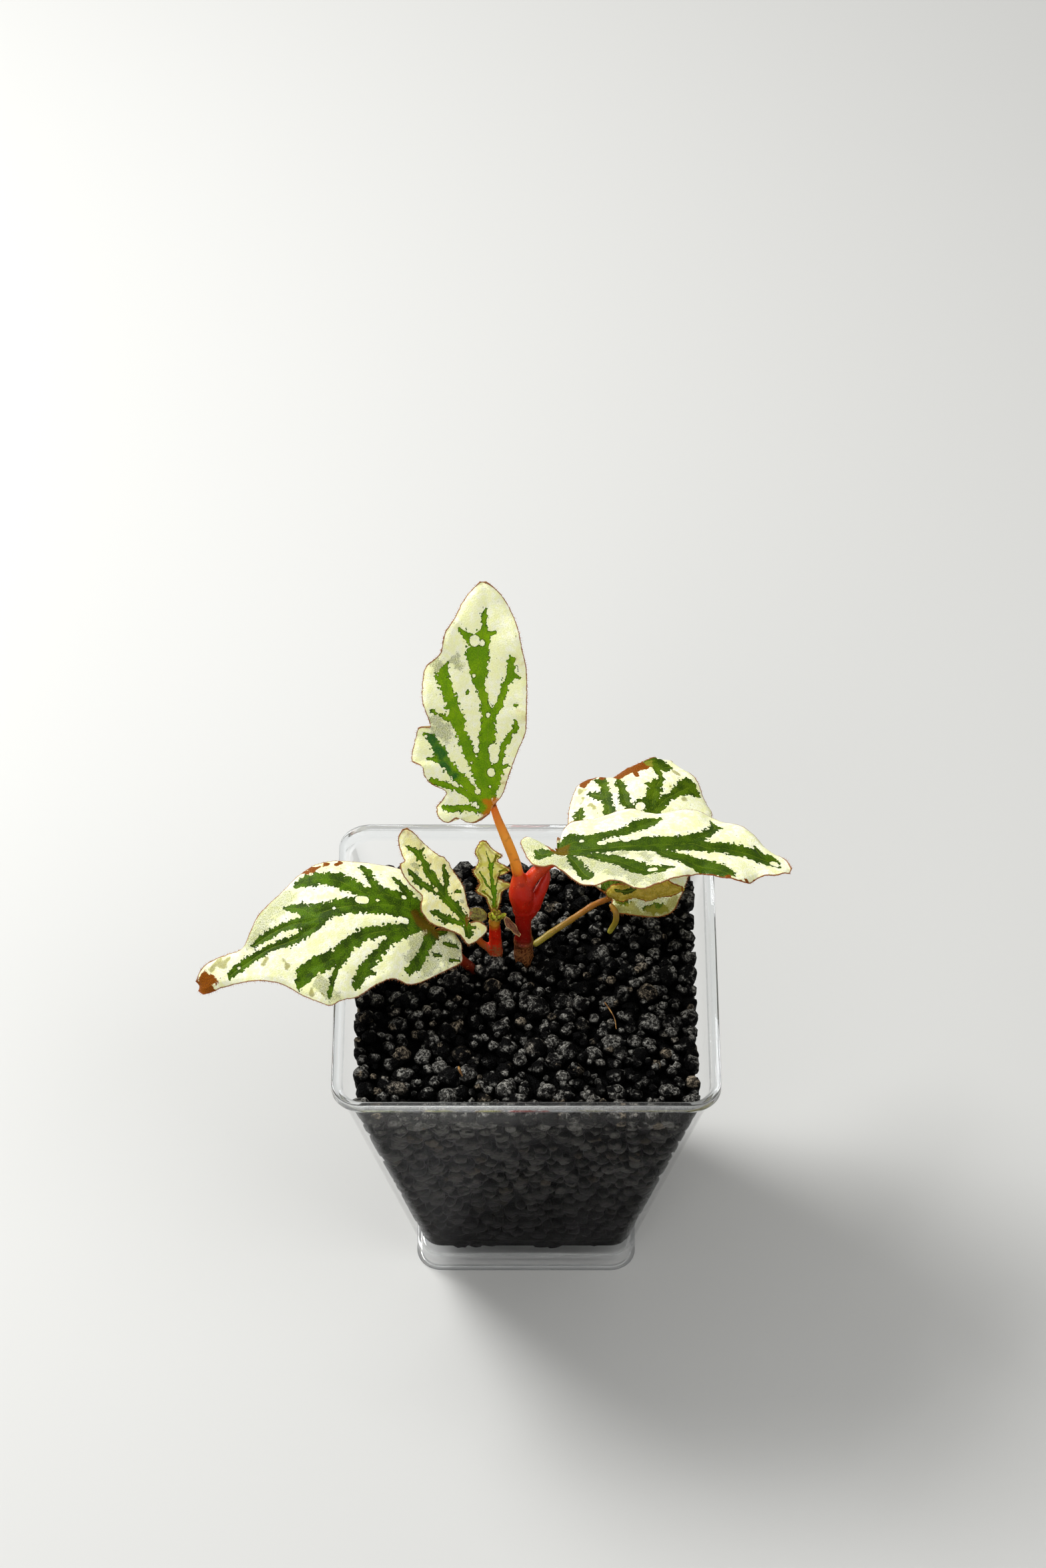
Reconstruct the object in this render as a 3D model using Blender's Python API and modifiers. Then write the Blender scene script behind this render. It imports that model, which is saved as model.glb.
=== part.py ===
# Potted begonia: a small variegated plant in black granular soil, in a clear square cup.
# Sizes are in millimetres and degrees, and become metres in the meshes.

import math
from bisect import bisect_right

import bmesh
import bpy
from mathutils import Matrix, Vector, noise

MM = 0.001

# The pot's axis, measured from the middle of the whole plant's footprint, which is the origin
POT_AXIS = (6.07, -6.75, 0.0)

# Clear square pot
RIM_WIDTH = 72.0
POT_HEIGHT = 66.0
FOOT_WIDTH = 42.5
FOOT_HEIGHT = 4.0
WALL = 1.0
WALL_FOOT_WIDTH = 41.5
LIP_HEIGHT = 2.2
LIP_STEP = 0.5
RIM_CORNER = 6.0
FOOT_CORNER = 5.0
EDGE = 0.4
NUB_RADIUS = 2.2
NUB_HEIGHT = 0.7

# Soil
SOIL_BELOW_RIM = 8.0
CLEAR = 0.3
GRAIN_PITCH = 5.0
GRAIN_HEIGHT = 3.2
GRAIN_GAP = 1.6
GRAIN_EDGE = 1.5
SOIL_CUTS = 23

# Stems: how far apart their rings are, and how much wider than a stem its hole in the soil is
RING_STEP = 2.2
BORE_CLEAR = 0.42

# Leaves: the blade, where its rows start at the petiole, and where a margin leaves the hind lobe
BLADE = 0.6
HUB = 0.2
ABEAM = 2.0
# A drooping lobe bends most behind the petiole, and not at all this far along the midrib
DROOP_END = 6.0
DROOP_RUN = 12.0
DROOP_SPAN = 10.0

FLOOR_TOP = FOOT_HEIGHT + WALL
SOIL_TOP = POT_HEIGHT - SOIL_BELOW_RIM

# Stems: route points, and the radius at each of them
STEMS = {
    "stem_main": [
        (((-0.5, 8.9, 51), 1.8), ((-0.5, 8.9, 58), 1.9), ((-0.5, 9.0, 62.6), 1.6),
         ((-0.6, 9.2, 69.3), 1.6), ((-1.0, 9.5, 74.5), 2.3), ((-1.4, 10.0, 79.0), 1.2)),
        (((-1.0, 9.6, 73.6), 1.5), ((1.2, 10.8, 77.8), 1.4), ((3.4, 11.9, 79.5), 1.2),
         ((5.7, 12.8, 80.3), 0.9)),
        (((-0.4, 9.3, 66.8), 0.8), ((0.9, 9.7, 69.4), 1.2), ((2.3, 10.4, 73.0), 1.2),
         ((3.7, 11.5, 76.4), 0.9), ((4.1, 12.0, 78.0), 0.4)),
    ],
    "stem_second": [
        (((-5.8, 8.9, 52), 1.2), ((-5.8, 8.9, 58), 1.25), ((-5.9, 9.2, 63.6), 1.15),
         ((-6.0, 9.6, 67.2), 1.0)),
        (((-5.9, 8.9, 58.8), 0.8), ((-8.6, 8.2, 62.4), 0.7), ((-10.6, 7.4, 66.4), 0.65),
         ((-11.7, 6.7, 69.0), 0.55)),
        (((-6.0, 9.7, 66.0), 0.6), ((-6.1, 11.0, 67.4), 0.5), ((-6.1, 11.5, 68.8), 0.45)),
    ],
    "petiole_top": [
        (((-1.5, 10.1, 79.4), 1.1), ((-2.4, 10.6, 83.4), 1.0), ((-3.6, 11.5, 86.8), 0.95),
         ((-5.3, 13.1, 90.9), 0.8), ((-6.3, 14.45, 93.7), 0.65)),
    ],
    "petiole_back": [
        (((1.8, 10.3, 59.7), 0.65), ((4.6, 11.8, 61.0), 0.65), ((8.4, 13.9, 62.4), 0.62),
         ((12.9, 16.4, 64.0), 0.6), ((16.3, 18.0, 64.35), 0.6)),
    ],
    "petiole_left": [
        (((-8.7, 7.3, 52), 1.0), ((-10.4, 6.2, 57.2), 1.0), ((-12.3, 5.2, 60.8), 0.95),
         ((-15.0, 4.2, 65.8), 0.85), ((-16.6, 3.6, 68.8), 0.7)),
    ],
    "strip": [
        (((16.2, 14.3, 66.1), 0.5), ((17.0, 13.3, 65.6), 0.6), ((17.2, 12.8, 64.4), 0.62),
         ((16.9, 12.5, 63.0), 0.6), ((15.9, 12.2, 61.0), 0.5)),
    ],
}

# Leaf blades. Outlines are flat, from the petiole (0, 0) to the tip, x along the midrib and
# y to the leaf's left. The rest bends the flat blade: its pitch and the arch of its midrib in
# degrees and degrees a millimetre, the fold and curl of its left and right halves, its roll,
# and the droop of the lobes behind the petiole. rows is how finely the blade is divided.
LEAVES = {
    "leaf_top": {
        "base": (-6.5, 13.0, 94.0), "yaw": 92, "pitch": 66, "arch": 0.5, "roll": 0,
        "fold": (-6, -6), "curl": (0.6, 0.6), "droop": 0, "ruffle": (0.7, 5, 0.3), "rows": (6, 13, 4),
        "midrib": [(0, 0), (5.7, 0.4), (18.5, 0.8), (33, 0.8), (43, 0.7)],
        "left": [(-0.9, 0.3), (-1.8, 1.8), (-2.7, 3.4), (-2.6, 5), (-1.4, 6.6), (-2.2, 8.2),
                 (-1.2, 9.9), (0.5, 10.2), (2.1, 9), (3.6, 8.4), (5.5, 11.2), (7.2, 12.4),
                 (9, 12.8), (9.9, 14.6), (14.1, 13.8), (16.2, 13.1), (16.3, 11.1), (18.2, 11.5),
                 (21.1, 12.4), (24.6, 12.3), (27.5, 11.6), (29.9, 9), (33.7, 8), (36.4, 6.1),
                 (39.5, 4.4), (41.7, 2.6), (43, 1.2)],
        "right": [(0.8, -0.8), (2.7, -2.1), (6.7, -3.4), (11, -5.1), (14.6, -6.6), (18.4, -6.9),
                  (23.5, -7.1), (27, -7), (30.5, -6.3), (34.3, -5.6), (38.1, -4.1),
                  (40.6, -2.6), (42.2, -1), (43, 0.2)],
    },
    "leaf_left": {
        "base": (-17.6, 3.3, 71.0), "yaw": 184, "pitch": 30, "arch": 1.55, "roll": -18,
        "fold": (6, 6), "curl": (1.0, 1.8), "droop": 4, "ruffle": (0.6, 5, 1.0), "rows": (6, 14, 4),
        "midrib": [(0, 0), (3.3, -2), (8, -2.2), (13.8, -1.2), (24.9, 1.3), (37.1, 4.4),
                   (42.3, 5.4), (47.3, 4.8), (49.8, 4.1)],
        "left": [(-0.8, -0.5), (-2.8, -1.2), (-5.5, -1.7), (-7.3, 0.6), (-7.9, 3.3), (-5.4, 6),
                 (-0.6, 9.8), (3.3, 11.5), (6.7, 11.3), (10.2, 12.7), (14.7, 15), (18.6, 15.8),
                 (21.6, 16.9), (27, 14.4), (31.8, 11), (36.9, 9.2), (45.1, 6.8), (49.5, 6.2),
                 (50.2, 5)],
        "right": [(-0.2, -0.8), (-2.2, -3.2), (-3.4, -6), (-2, -9.2), (2.2, -11.8), (6.5, -13.8),
                  (11.1, -14.9), (17.4, -15), (21.9, -13.8), (25.3, -11.7), (29.2, -7.7),
                  (33.4, -3.2), (37.5, 1.6), (41.5, 1.5), (44.5, 1.3), (47.8, 1.9), (49.8, 3.2)],
    },
    "leaf_right": {
        "base": (5.9, 12.9, 82.0), "yaw": -2, "pitch": 12, "arch": 0.7, "roll": -10,
        "fold": (-3, -6), "curl": (1.0, 0.6), "droop": 0, "ruffle": (0.7, 6, 2.0), "rows": (6, 14, 4),
        "midrib": [(0, 0), (5.4, 0.5), (11, 0.7), (17, 1.6), (23.1, 2.7), (29.1, 2.7),
                   (37.3, 1.6), (44.3, -1.3)],
        "left": [(-0.3, 0.7), (-0.2, 3.3), (0.8, 6.6), (3.2, 10.1), (6.4, 11.7), (10.6, 12.4),
                 (14.8, 13.2), (21.1, 13.6), (25.3, 13.8), (29.5, 13.6), (33.7, 11), (37.7, 7.6),
                 (40.9, 4.8), (43.3, 2), (44.5, -0.6)],
        "right": [(-0.9, 0.5), (-2.3, 2.7), (-3.9, 4.8), (-6.3, 6.1), (-7.4, 4.8), (-6.8, 2.2),
                  (-5.5, -0.8), (-3.7, -2.9), (-0.7, -4.8), (1.1, -6.9), (3.6, -9.4), (6, -11),
                  (8.8, -11.9), (11.5, -11.5), (15.3, -12.5), (19.1, -11.3), (22.2, -10.4),
                  (24.9, -8), (26.9, -6.6), (28.9, -7.3), (32, -8.7), (35.6, -8), (38.2, -4.9),
                  (41.1, -4.3), (43.3, -2.8), (44.2, -1.9)],
    },
    "leaf_back": {
        "base": (16.6, 17.2, 66.0), "yaw": 75, "pitch": 34, "arch": 1.5, "roll": 0,
        "fold": (6, 6), "curl": (1.4, 1.6), "droop": 0, "ruffle": (0.7, 5, 4.0), "rows": (6, 13, 4),
        "midrib": [(0, 0), (10, 0.3), (20, 0), (30, -1.5), (35.6, -3)],
        "left": [(-0.2, 0.8), (0.2, 2.2), (1.6, 4.8), (3.4, 8.0), (6.0, 10.4), (9, 11.8),
                 (13.9, 12.9), (19.1, 14), (23.7, 13.8), (25, 13.1), (27.2, 9.6), (27.1, 7.6),
                 (29.7, 5.3), (31.4, 2.4), (33.2, 0.9), (34.8, -0.7), (35.6, -2.4)],
        "right": [(-0.8, -0.1), (-3.2, -0.4), (-3.2, -3.4), (-2.9, -6.3), (-2.1, -9.7),
                  (-0.6, -12), (1.8, -12.7), (6.5, -13.2), (12, -13.8),
                  (18, -15), (25.3, -14.3), (28.8, -11.7), (31.1, -9.9), (33.2, -7.5),
                  (34.8, -5.4), (35.5, -3.6)],
    },
    "leaf_small": {
        "base": (-11.2, 6.1, 69.9), "yaw": 134, "pitch": 46, "arch": 0.6, "roll": 0,
        "fold": (-4, -4), "curl": (1, 1), "droop": 0, "ruffle": (0.4, 4, 1.0), "rows": (5, 10, 3),
        "midrib": [(0, 0), (3.8, 0.7), (10.8, 1.5), (16.5, 1), (21.6, 0.4)],
        "left": [(-0.2, -0.7), (-0.7, -2.1), (-1.6, -2.8), (-2.7, -3.3), (-3.4, -3), (-3.9, -1.1),
                 (-3.9, 0.4), (-3.3, 2.2), (-1.1, 2.8), (1.5, 4.6), (4.1, 6.6), (5.9, 7.1),
                 (7.6, 7.1), (9.2, 5.3), (10.9, 5.6), (14.4, 6.3), (16.5, 5.7), (16.5, 4.4),
                 (18.2, 3.8), (20.8, 2.5), (21.6, 0.9)],
        "right": [(0.4, -0.8), (1.6, -2), (3.3, -2.3), (6.9, -3.2), (11, -3.4), (12.8, -3),
                  (14.1, -2.1), (17.3, -1.4), (19.8, -0.7), (21.4, 0)],
    },
    "leaf_tiny": {
        "base": (-6.0, 10.3, 69.0), "yaw": 98, "pitch": 62, "arch": 0.5, "roll": 0,
        "fold": (-10, -10), "curl": (0, 0), "droop": 0, "ruffle": (0.3, 5, 0.0), "rows": (2, 14, 2),
        "midrib": [(0, 0), (7, 0.3), (14, 1.1)],
        "left": [(0, 0.7), (1.6, 1.2), (2.8, 1.5), (4.3, 3.3), (5.8, 2.6), (8.3, 3.6),
                 (10.1, 2.4), (12, 3), (13.5, 2), (14, 1.4)],
        "right": [(0, -0.7), (2.3, -1.4), (3.5, -1.7), (4.9, -3.8), (6.4, -1.2), (7.9, -3.5),
                  (9.7, -1.3), (10.8, -2.2), (11.9, -0.7), (13.8, 0.6)],
    },
    "leaf_under": {
        "base": (15.2, 15.6, 67.7), "yaw": 3, "pitch": 7, "arch": 0.6, "roll": 58,
        "fold": (0, 0), "curl": (9, 12), "droop": 0, "ruffle": (0.7, 3.5, 0.5), "rows": (1, 9, 2),
        "midrib": [(0, 0), (6, 0.2), (15, 0)],
        "left": [(-0.2, 0.6), (2, 1.8), (5, 1.9), (8, 2.6), (11, 2.2), (14.5, 0.6)],
        "right": [(0.2, -0.6), (2.5, -1.6), (5, -1.4), (8, -2), (11.5, -1.4), (14.7, -0.5)],
    },
    "stipule_left": {
        "base": (-7.5, 9.4, 68.3), "yaw": 170, "pitch": 12, "arch": 2, "roll": -35,
        "fold": (0, 0), "curl": (4, 4), "droop": 0, "ruffle": (0.2, 2, 0), "rows": (1, 5, 1),
        "midrib": [(0, 0), (2, 0.1), (3.8, 0)],
        "left": [(-0.1, 0.5), (1, 1.4), (2.6, 1.3), (3.8, 0.3)],
        "right": [(0.1, -0.5), (1.2, -1.2), (2.6, -1.1), (3.8, -0.3)],
    },
    "stipule_right": {
        "base": (-4.1, 8.0, 69.3), "yaw": -28, "pitch": -42, "arch": 1, "roll": 10,
        "fold": (0, 0), "curl": (4, 4), "droop": 0, "ruffle": (0.2, 2, 1), "rows": (1, 5, 1),
        "midrib": [(0, 0), (2, 0.1), (4.6, 0)],
        "left": [(-0.1, 0.4), (1, 0.8), (2.8, 0.7), (4.6, 0.3)],
        "right": [(0.1, -0.4), (1.2, -0.8), (2.8, -0.7), (4.6, -0.3)],
    },
}

# Rosette of curled young leaves at the tip of the second stem
BUD_CENTRE = (-5.8, 8.7, 68.7)
BUD_RADIUS = 0.95
BUD_KNOBS = 7
BUD_RISE = 0.9
CORE_SHAPE = (1, 1, 1.2)
KNOB_SHAPE = (0.55, 0.4, 0.6)

# Base colour, roughness and, for the pot, how clear it is
FINISHES = {
    "clear": ((0.93, 0.95, 0.97, 1), 0.05, 1.0),
    "soil": ((0.012, 0.012, 0.013, 1), 0.75, 0.0),
    "red_stem": ((0.42, 0.03, 0.012, 1), 0.4, 0.0),
    "pink_stem": ((0.5, 0.16, 0.06, 1), 0.4, 0.0),
    "olive_stem": ((0.3, 0.14, 0.03, 1), 0.45, 0.0),
    "leaf": ((0.62, 0.72, 0.38, 1), 0.42, 0.0),
    "leaf_underside": ((0.33, 0.26, 0.05, 1), 0.5, 0.0),
    "bud": ((0.62, 0.68, 0.15, 1), 0.5, 0.0),
    "papery": ((0.3, 0.17, 0.07, 1), 0.7, 0.0),
}
FINISH_OF = {
    "pot": "clear", "soil": "soil", "stem_main": "red_stem", "stem_second": "red_stem",
    "petiole_top": "pink_stem", "petiole_back": "olive_stem", "petiole_left": "red_stem",
    "strip": "papery", "leaf_under": "leaf_underside", "bud": "bud",
    "stipule_left": "papery", "stipule_right": "papery",
}


def clear_scene():
    for thing in list(bpy.data.objects):
        bpy.data.objects.remove(thing, do_unlink=True)


def collection(name):
    made = bpy.data.collections.new(name)
    bpy.context.scene.collection.children.link(made)
    return made


def finish(name):
    """The material of that name, made on first use."""
    if name in bpy.data.materials:
        return bpy.data.materials[name]
    colour, roughness, clearness = FINISHES[name]
    made = bpy.data.materials.new(name)
    made.use_nodes = True
    shader = made.node_tree.nodes["Principled BSDF"]
    shader.inputs["Base Color"].default_value = colour
    shader.inputs["Roughness"].default_value = roughness
    shader.inputs["Metallic"].default_value = 0.0
    shader.inputs["Transmission Weight"].default_value = clearness
    return made


def add_object(name, mesh, home, parent=None):
    made = bpy.data.objects.new(name, mesh)
    home.objects.link(made)
    made.parent = parent
    return made


def object_from(name, bm, home, parent=None):
    """An object from a bmesh drawn in millimetres."""
    bmesh.ops.scale(bm, vec=Vector((MM, MM, MM)), verts=bm.verts)
    mesh = bpy.data.meshes.new(name)
    bm.to_mesh(mesh)
    bm.free()
    return add_object(name, mesh, home, parent)


def settle(thing):
    """Apply an object's modifiers."""
    seen = thing.evaluated_get(bpy.context.evaluated_depsgraph_get())
    mesh = bpy.data.meshes.new_from_object(seen)
    thing.modifiers.clear()
    thing.data = mesh
    return thing


def boolean(thing, operation, operand):
    """Join or cut an object with another object or with a collection, and apply it."""
    step = thing.modifiers.new(operation.title(), "BOOLEAN")
    step.operation = operation
    step.solver = "EXACT"
    if isinstance(operand, bpy.types.Collection):
        step.operand_type = "COLLECTION"
        step.collection = operand
    else:
        step.object = operand
    return settle(thing)


def join_all(thing, pieces):
    """Union of an object with loose objects, which are then removed."""
    loose = collection(thing.name + "_pieces")
    for piece in pieces:
        for home in list(piece.users_collection):
            home.objects.unlink(piece)
        loose.objects.link(piece)
    boolean(thing, "UNION", loose)
    for piece in pieces:
        bpy.data.objects.remove(piece, do_unlink=True)
    bpy.data.collections.remove(loose)
    return thing


def keep_outer_shell(thing):
    """Fill the hollows that joining has sealed, and drop loose scraps."""
    bm = bmesh.new()
    bm.from_mesh(thing.data)
    waiting = set(bm.verts)
    shells = []
    while waiting:
        shell = {waiting.pop()}
        fresh = list(shell)
        while fresh:
            corner = fresh.pop()
            near = {edge.other_vert(corner) for edge in corner.link_edges} & waiting
            waiting -= near
            shell |= near
            fresh.extend(near)
        shells.append(shell)
    shells.sort(key=len)
    bmesh.ops.delete(bm, geom=[corner for shell in shells[:-1] for corner in shell])
    bm.to_mesh(thing.data)
    bm.free()
    return thing


def rounded_square(half, corner, z, arc=5):
    """Points round a square section with rounded corners."""
    points = []
    for quarter in range(4):
        across = 1 if quarter in (0, 3) else -1
        along = 1 if quarter in (0, 1) else -1
        for step in range(arc + 1):
            angle = math.radians(90 * (quarter + step / arc))
            points.append((across * (half - corner) + corner * math.cos(angle),
                           along * (half - corner) + corner * math.sin(angle), z))
    return points


def loft(sections):
    """A closed body through sections with equal numbers of points, capped at both ends."""
    bm = bmesh.new()
    rings = [[bm.verts.new(point) for point in section] for section in sections]
    for low, high in zip(rings, rings[1:]):
        for i, corner in enumerate(low):
            j = (i + 1) % len(low)
            bm.faces.new((corner, low[j], high[j], high[i]))
    bm.faces.new(reversed(rings[0]))
    bm.faces.new(rings[-1])
    bmesh.ops.remove_doubles(bm, verts=bm.verts, dist=1e-4)
    bmesh.ops.recalc_face_normals(bm, faces=bm.faces)
    return bm


def slope(low, high, z):
    """A value that goes evenly from low at the foot to high at the rim."""
    return low + (high - low) * (z - FOOT_HEIGHT) / (POT_HEIGHT - FOOT_HEIGHT)


def outer_half(z):
    return slope(WALL_FOOT_WIDTH / 2, RIM_WIDTH / 2 - LIP_STEP, z)


def section(half, z, inset=0.0):
    """A pot section, whose corners shrink as it is inset."""
    corner = slope(FOOT_CORNER, RIM_CORNER, max(z, FOOT_HEIGHT)) - inset
    return rounded_square(half - inset, corner, z)


def make_pot(home, axis):
    foot = FOOT_WIDTH / 2
    rim = RIM_WIDTH / 2
    lip = POT_HEIGHT - LIP_HEIGHT
    nub_foot = FOOT_HEIGHT - NUB_HEIGHT
    sections = [
        rounded_square(NUB_RADIUS - EDGE, NUB_RADIUS - EDGE, nub_foot),
        rounded_square(NUB_RADIUS, NUB_RADIUS, FOOT_HEIGHT),
        section(foot, FOOT_HEIGHT, WALL + 0.1),
        section(foot, 0, WALL),
        section(foot, 0, EDGE / 2),
        section(foot, EDGE / 2),
        section(foot, FOOT_HEIGHT - EDGE),
        section(outer_half(FOOT_HEIGHT), FOOT_HEIGHT),
        section(outer_half(lip), lip),
        section(rim, lip + EDGE),
        section(rim, POT_HEIGHT - EDGE),
        section(rim, POT_HEIGHT, EDGE),
        section(rim, POT_HEIGHT, WALL),
        section(outer_half(POT_HEIGHT - WALL), POT_HEIGHT - WALL, WALL),
        section(outer_half(FLOOR_TOP + WALL), FLOOR_TOP + WALL, WALL),
        section(outer_half(FLOOR_TOP), FLOOR_TOP, 2 * WALL),
    ]
    return object_from("pot", loft(sections), home, axis)


def onto_square(x, y, half, corner):
    """A point of the square from -1 to 1, moved into a rounded square of this half width."""
    flat = half - corner
    past_x = max(abs(x) * half - flat, 0)
    past_y = max(abs(y) * half - flat, 0)
    reach = math.hypot(past_x, past_y)
    if not past_x or not past_y:
        return x * half, y * half
    pull = max(past_x, past_y) / reach
    return math.copysign(flat + past_x * pull, x), math.copysign(flat + past_y * pull, y)


def granules(place):
    """How far a point lies from its granule's middle and from the next granule, in millimetres."""
    near = noise.voronoi(Vector(place) / GRAIN_PITCH)[0]
    return near[0] * GRAIN_PITCH, (near[1] - near[0]) * GRAIN_PITCH


def make_soil(home, axis):
    """Packed granules: rounded on top, and pressed flat by the walls with gaps between them."""
    bm = bmesh.new()
    bmesh.ops.create_cube(bm, size=2)
    bmesh.ops.subdivide_edges(bm, edges=bm.edges, cuts=SOIL_CUTS, use_grid_fill=True)
    low = FLOOR_TOP + CLEAR
    for corner in bm.verts:
        x, y, rise = corner.co
        z = low + (SOIL_TOP - low) * (rise + 1) / 2
        chamfer = max(low + WALL - z, 0)
        half = outer_half(z) - WALL - CLEAR - chamfer
        px, py = onto_square(x, y, half, slope(FOOT_CORNER, RIM_CORNER, z) - WALL - CLEAR)
        middle, gap = granules((px, py, z))
        if rise == -1:
            corner.co = (px, py, z)
        elif rise == 1:
            rim = max(abs(x), abs(y)) == 1
            dome = math.sqrt(max(1 - (middle / GRAIN_PITCH) ** 2, 0)) * GRAIN_HEIGHT
            corner.co = (px, py, SOIL_TOP if rim else SOIL_TOP - GRAIN_HEIGHT / 2 + dome)
        else:
            pressed = 1 - GRAIN_GAP / half * max(1 - gap / GRAIN_EDGE, 0)
            corner.co = (px * pressed, py * pressed, z)
    bottom = [face for face in bm.faces if face.calc_center_median().z < low + 1e-3]
    bmesh.ops.dissolve_faces(bm, faces=bottom)
    bmesh.ops.triangulate(bm, faces=bm.faces)
    bmesh.ops.recalc_face_normals(bm, faces=bm.faces)
    return object_from("soil", bm, home, axis)


def hide(cutter):
    cutter.hide_render = True
    cutter.display_type = "WIRE"


class Route:
    """A smooth curve through points, read at a fraction of its length."""

    def __init__(self, points):
        self.points = [Vector(point) for point in points]
        self.marks = [0.0]
        for here, there in zip(self.points, self.points[1:]):
            self.marks.append(self.marks[-1] + (there - here).length)

    def slope(self, i):
        before = max(i - 1, 0)
        after = min(i + 1, len(self.points) - 1)
        return (self.points[after] - self.points[before]) / (self.marks[after] - self.marks[before])

    def at(self, fraction):
        place = fraction * self.marks[-1]
        i = min(max(bisect_right(self.marks, place) - 1, 0), len(self.points) - 2)
        run = self.marks[i + 1] - self.marks[i]
        h = (place - self.marks[i]) / run
        return (self.points[i] * (2 * h**3 - 3 * h**2 + 1)
                + self.points[i + 1] * (3 * h**2 - 2 * h**3)
                + self.slope(i) * (run * (h**3 - 2 * h**2 + h))
                + self.slope(i + 1) * (run * (h**3 - h**2)))


def tube(name, stations, extra, home, axis):
    """A round stem through stations of a point and a radius, this much thicker than they say."""
    route = Route([(*point, radius) for point, radius in stations])
    count = max(3, math.ceil(route.marks[-1] / RING_STEP))
    curve = bpy.data.curves.new(name, "CURVE")
    curve.dimensions = "3D"
    curve.bevel_depth = MM
    curve.bevel_resolution = 2
    curve.use_fill_caps = True
    spline = curve.splines.new("POLY")
    spline.points.add(count)
    for i, point in enumerate(spline.points):
        x, y, z, radius = route.at(i / count)
        point.co = (x * MM, y * MM, z * MM, 1)
        point.radius = radius + extra
    drawn = add_object(name, curve, home, axis)
    mesh = bpy.data.meshes.new_from_object(
        drawn.evaluated_get(bpy.context.evaluated_depsgraph_get()))
    bm = bmesh.new()
    bm.from_mesh(mesh)
    bmesh.ops.remove_doubles(bm, verts=bm.verts, dist=1e-7)
    bmesh.ops.recalc_face_normals(bm, faces=bm.faces)
    bm.to_mesh(mesh)
    bm.free()
    bpy.data.objects.remove(drawn, do_unlink=True)
    return add_object(name, mesh, home, axis)


def make_stem(name, branches, home, axis):
    """A stem and its side branches, joined into one body."""
    stem = tube(name, branches[0], 0, home, axis)
    if len(branches) > 1:
        join_all(stem, [tube("branch", branch, 0, home, axis) for branch in branches[1:]])
    return stem


def bore_soil(soil, cutters, axis):
    """Plain holes in the soil round every stem that stands in it or lies on it."""
    for name in ("stem_main", "stem_second", "petiole_back", "petiole_left"):
        for branch in STEMS[name]:
            if branch[0][0][2] > SOIL_TOP + GRAIN_HEIGHT:
                continue
            (x, y, z), radius = branch[0]
            deeper = [((x, y, z - 2 * CLEAR), radius), *branch]
            bore = tube("bore_" + name, deeper, BORE_CLEAR, cutters, axis)
            hide(bore)
            boolean(soil, "DIFFERENCE", bore)
    keep_outer_shell(soil)


def bend(run, fold, curl):
    """How far out and down a half blade reaches, folded and curling evenly."""
    start = math.radians(fold)
    rate = math.radians(curl)
    if rate == 0:
        return run * math.cos(start), run * math.sin(start)
    return ((math.sin(start + rate * run) - math.sin(start)) / rate,
            (math.cos(start) - math.cos(start + rate * run)) / rate)


def blade_point(leaf, flat, lift):
    """A flat point of a leaf on its bent blade, before the leaf is turned and placed."""
    x, y = flat
    side = 0 if y > 0 else 1
    out, drop = bend(abs(y), leaf["fold"][side], leaf["curl"][side])
    hind = min(max((DROOP_END - x) / DROOP_RUN, 0), 1)
    drop += leaf["droop"] * hind**2 * abs(y) / DROOP_SPAN * side - lift
    out = out if side == 0 else -out
    roll = math.radians(leaf["roll"])
    across = out * math.cos(roll) + drop * math.sin(roll)
    up = out * math.sin(roll) - drop * math.cos(roll)
    pitch = math.radians(leaf["pitch"])
    arch = math.radians(leaf["arch"])
    angle = pitch - arch * x
    return Vector(((math.sin(pitch) - math.sin(angle)) / arch - up * math.sin(angle), across,
                   (math.cos(angle) - math.cos(pitch)) / arch + up * math.cos(angle)))


def abeam(margin):
    """How far along a margin it leaves the lobe behind the petiole."""
    last = 0
    for i, point in enumerate(margin.points):
        if point.x < ABEAM and margin.marks[i] < margin.marks[-1] / 2:
            last = i
    return margin.marks[last] / margin.marks[-1]


def make_leaf(name, leaf, home, axis):
    """A blade whose rows fan out round the petiole and then climb the midrib, like the veins."""
    fan_rows, blade_rows, half_columns = leaf["rows"]
    rows = fan_rows + blade_rows
    midrib = Route(leaf["midrib"])
    sides = [Route(leaf["left"]), Route(leaf["right"])]
    shares = [abeam(side) for side in sides]
    height, waves, phase = leaf["ruffle"]
    hub = HUB / midrib.marks[-1]
    bm = bmesh.new()
    bmesh.ops.create_grid(bm, x_segments=2 * half_columns, y_segments=rows, size=1)
    for corner in bm.verts:
        column = round((corner.co.x + 1) * half_columns) - half_columns
        row = round((corner.co.y + 1) / 2 * rows)
        side = 0 if column <= 0 else 1
        if row < fan_rows:
            along = row / fan_rows
            rib = midrib.at(hub * along)
            edge = sides[side].at(shares[side] * along)
        else:
            along = (row - fan_rows) / blade_rows
            rib = midrib.at(hub + (1 - hub) * along)
            edge = sides[side].at(shares[side] + (1 - shares[side]) * along)
        reach = abs(column) / half_columns
        lift = height * reach**2 * math.sin(math.tau * waves * row / rows + phase + side)
        corner.co = blade_point(leaf, rib.lerp(edge, reach), lift)
    bmesh.ops.triangulate(bm, faces=bm.faces)
    bmesh.ops.recalc_face_normals(bm, faces=bm.faces)
    made = object_from(name, bm, home, axis)
    made.location = Vector(leaf["base"]) * MM
    made.rotation_euler.z = math.radians(leaf["yaw"])
    skin = made.modifiers.new("Thickness", "SOLIDIFY")
    skin.thickness = BLADE * MM
    skin.offset = 0
    return made


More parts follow.
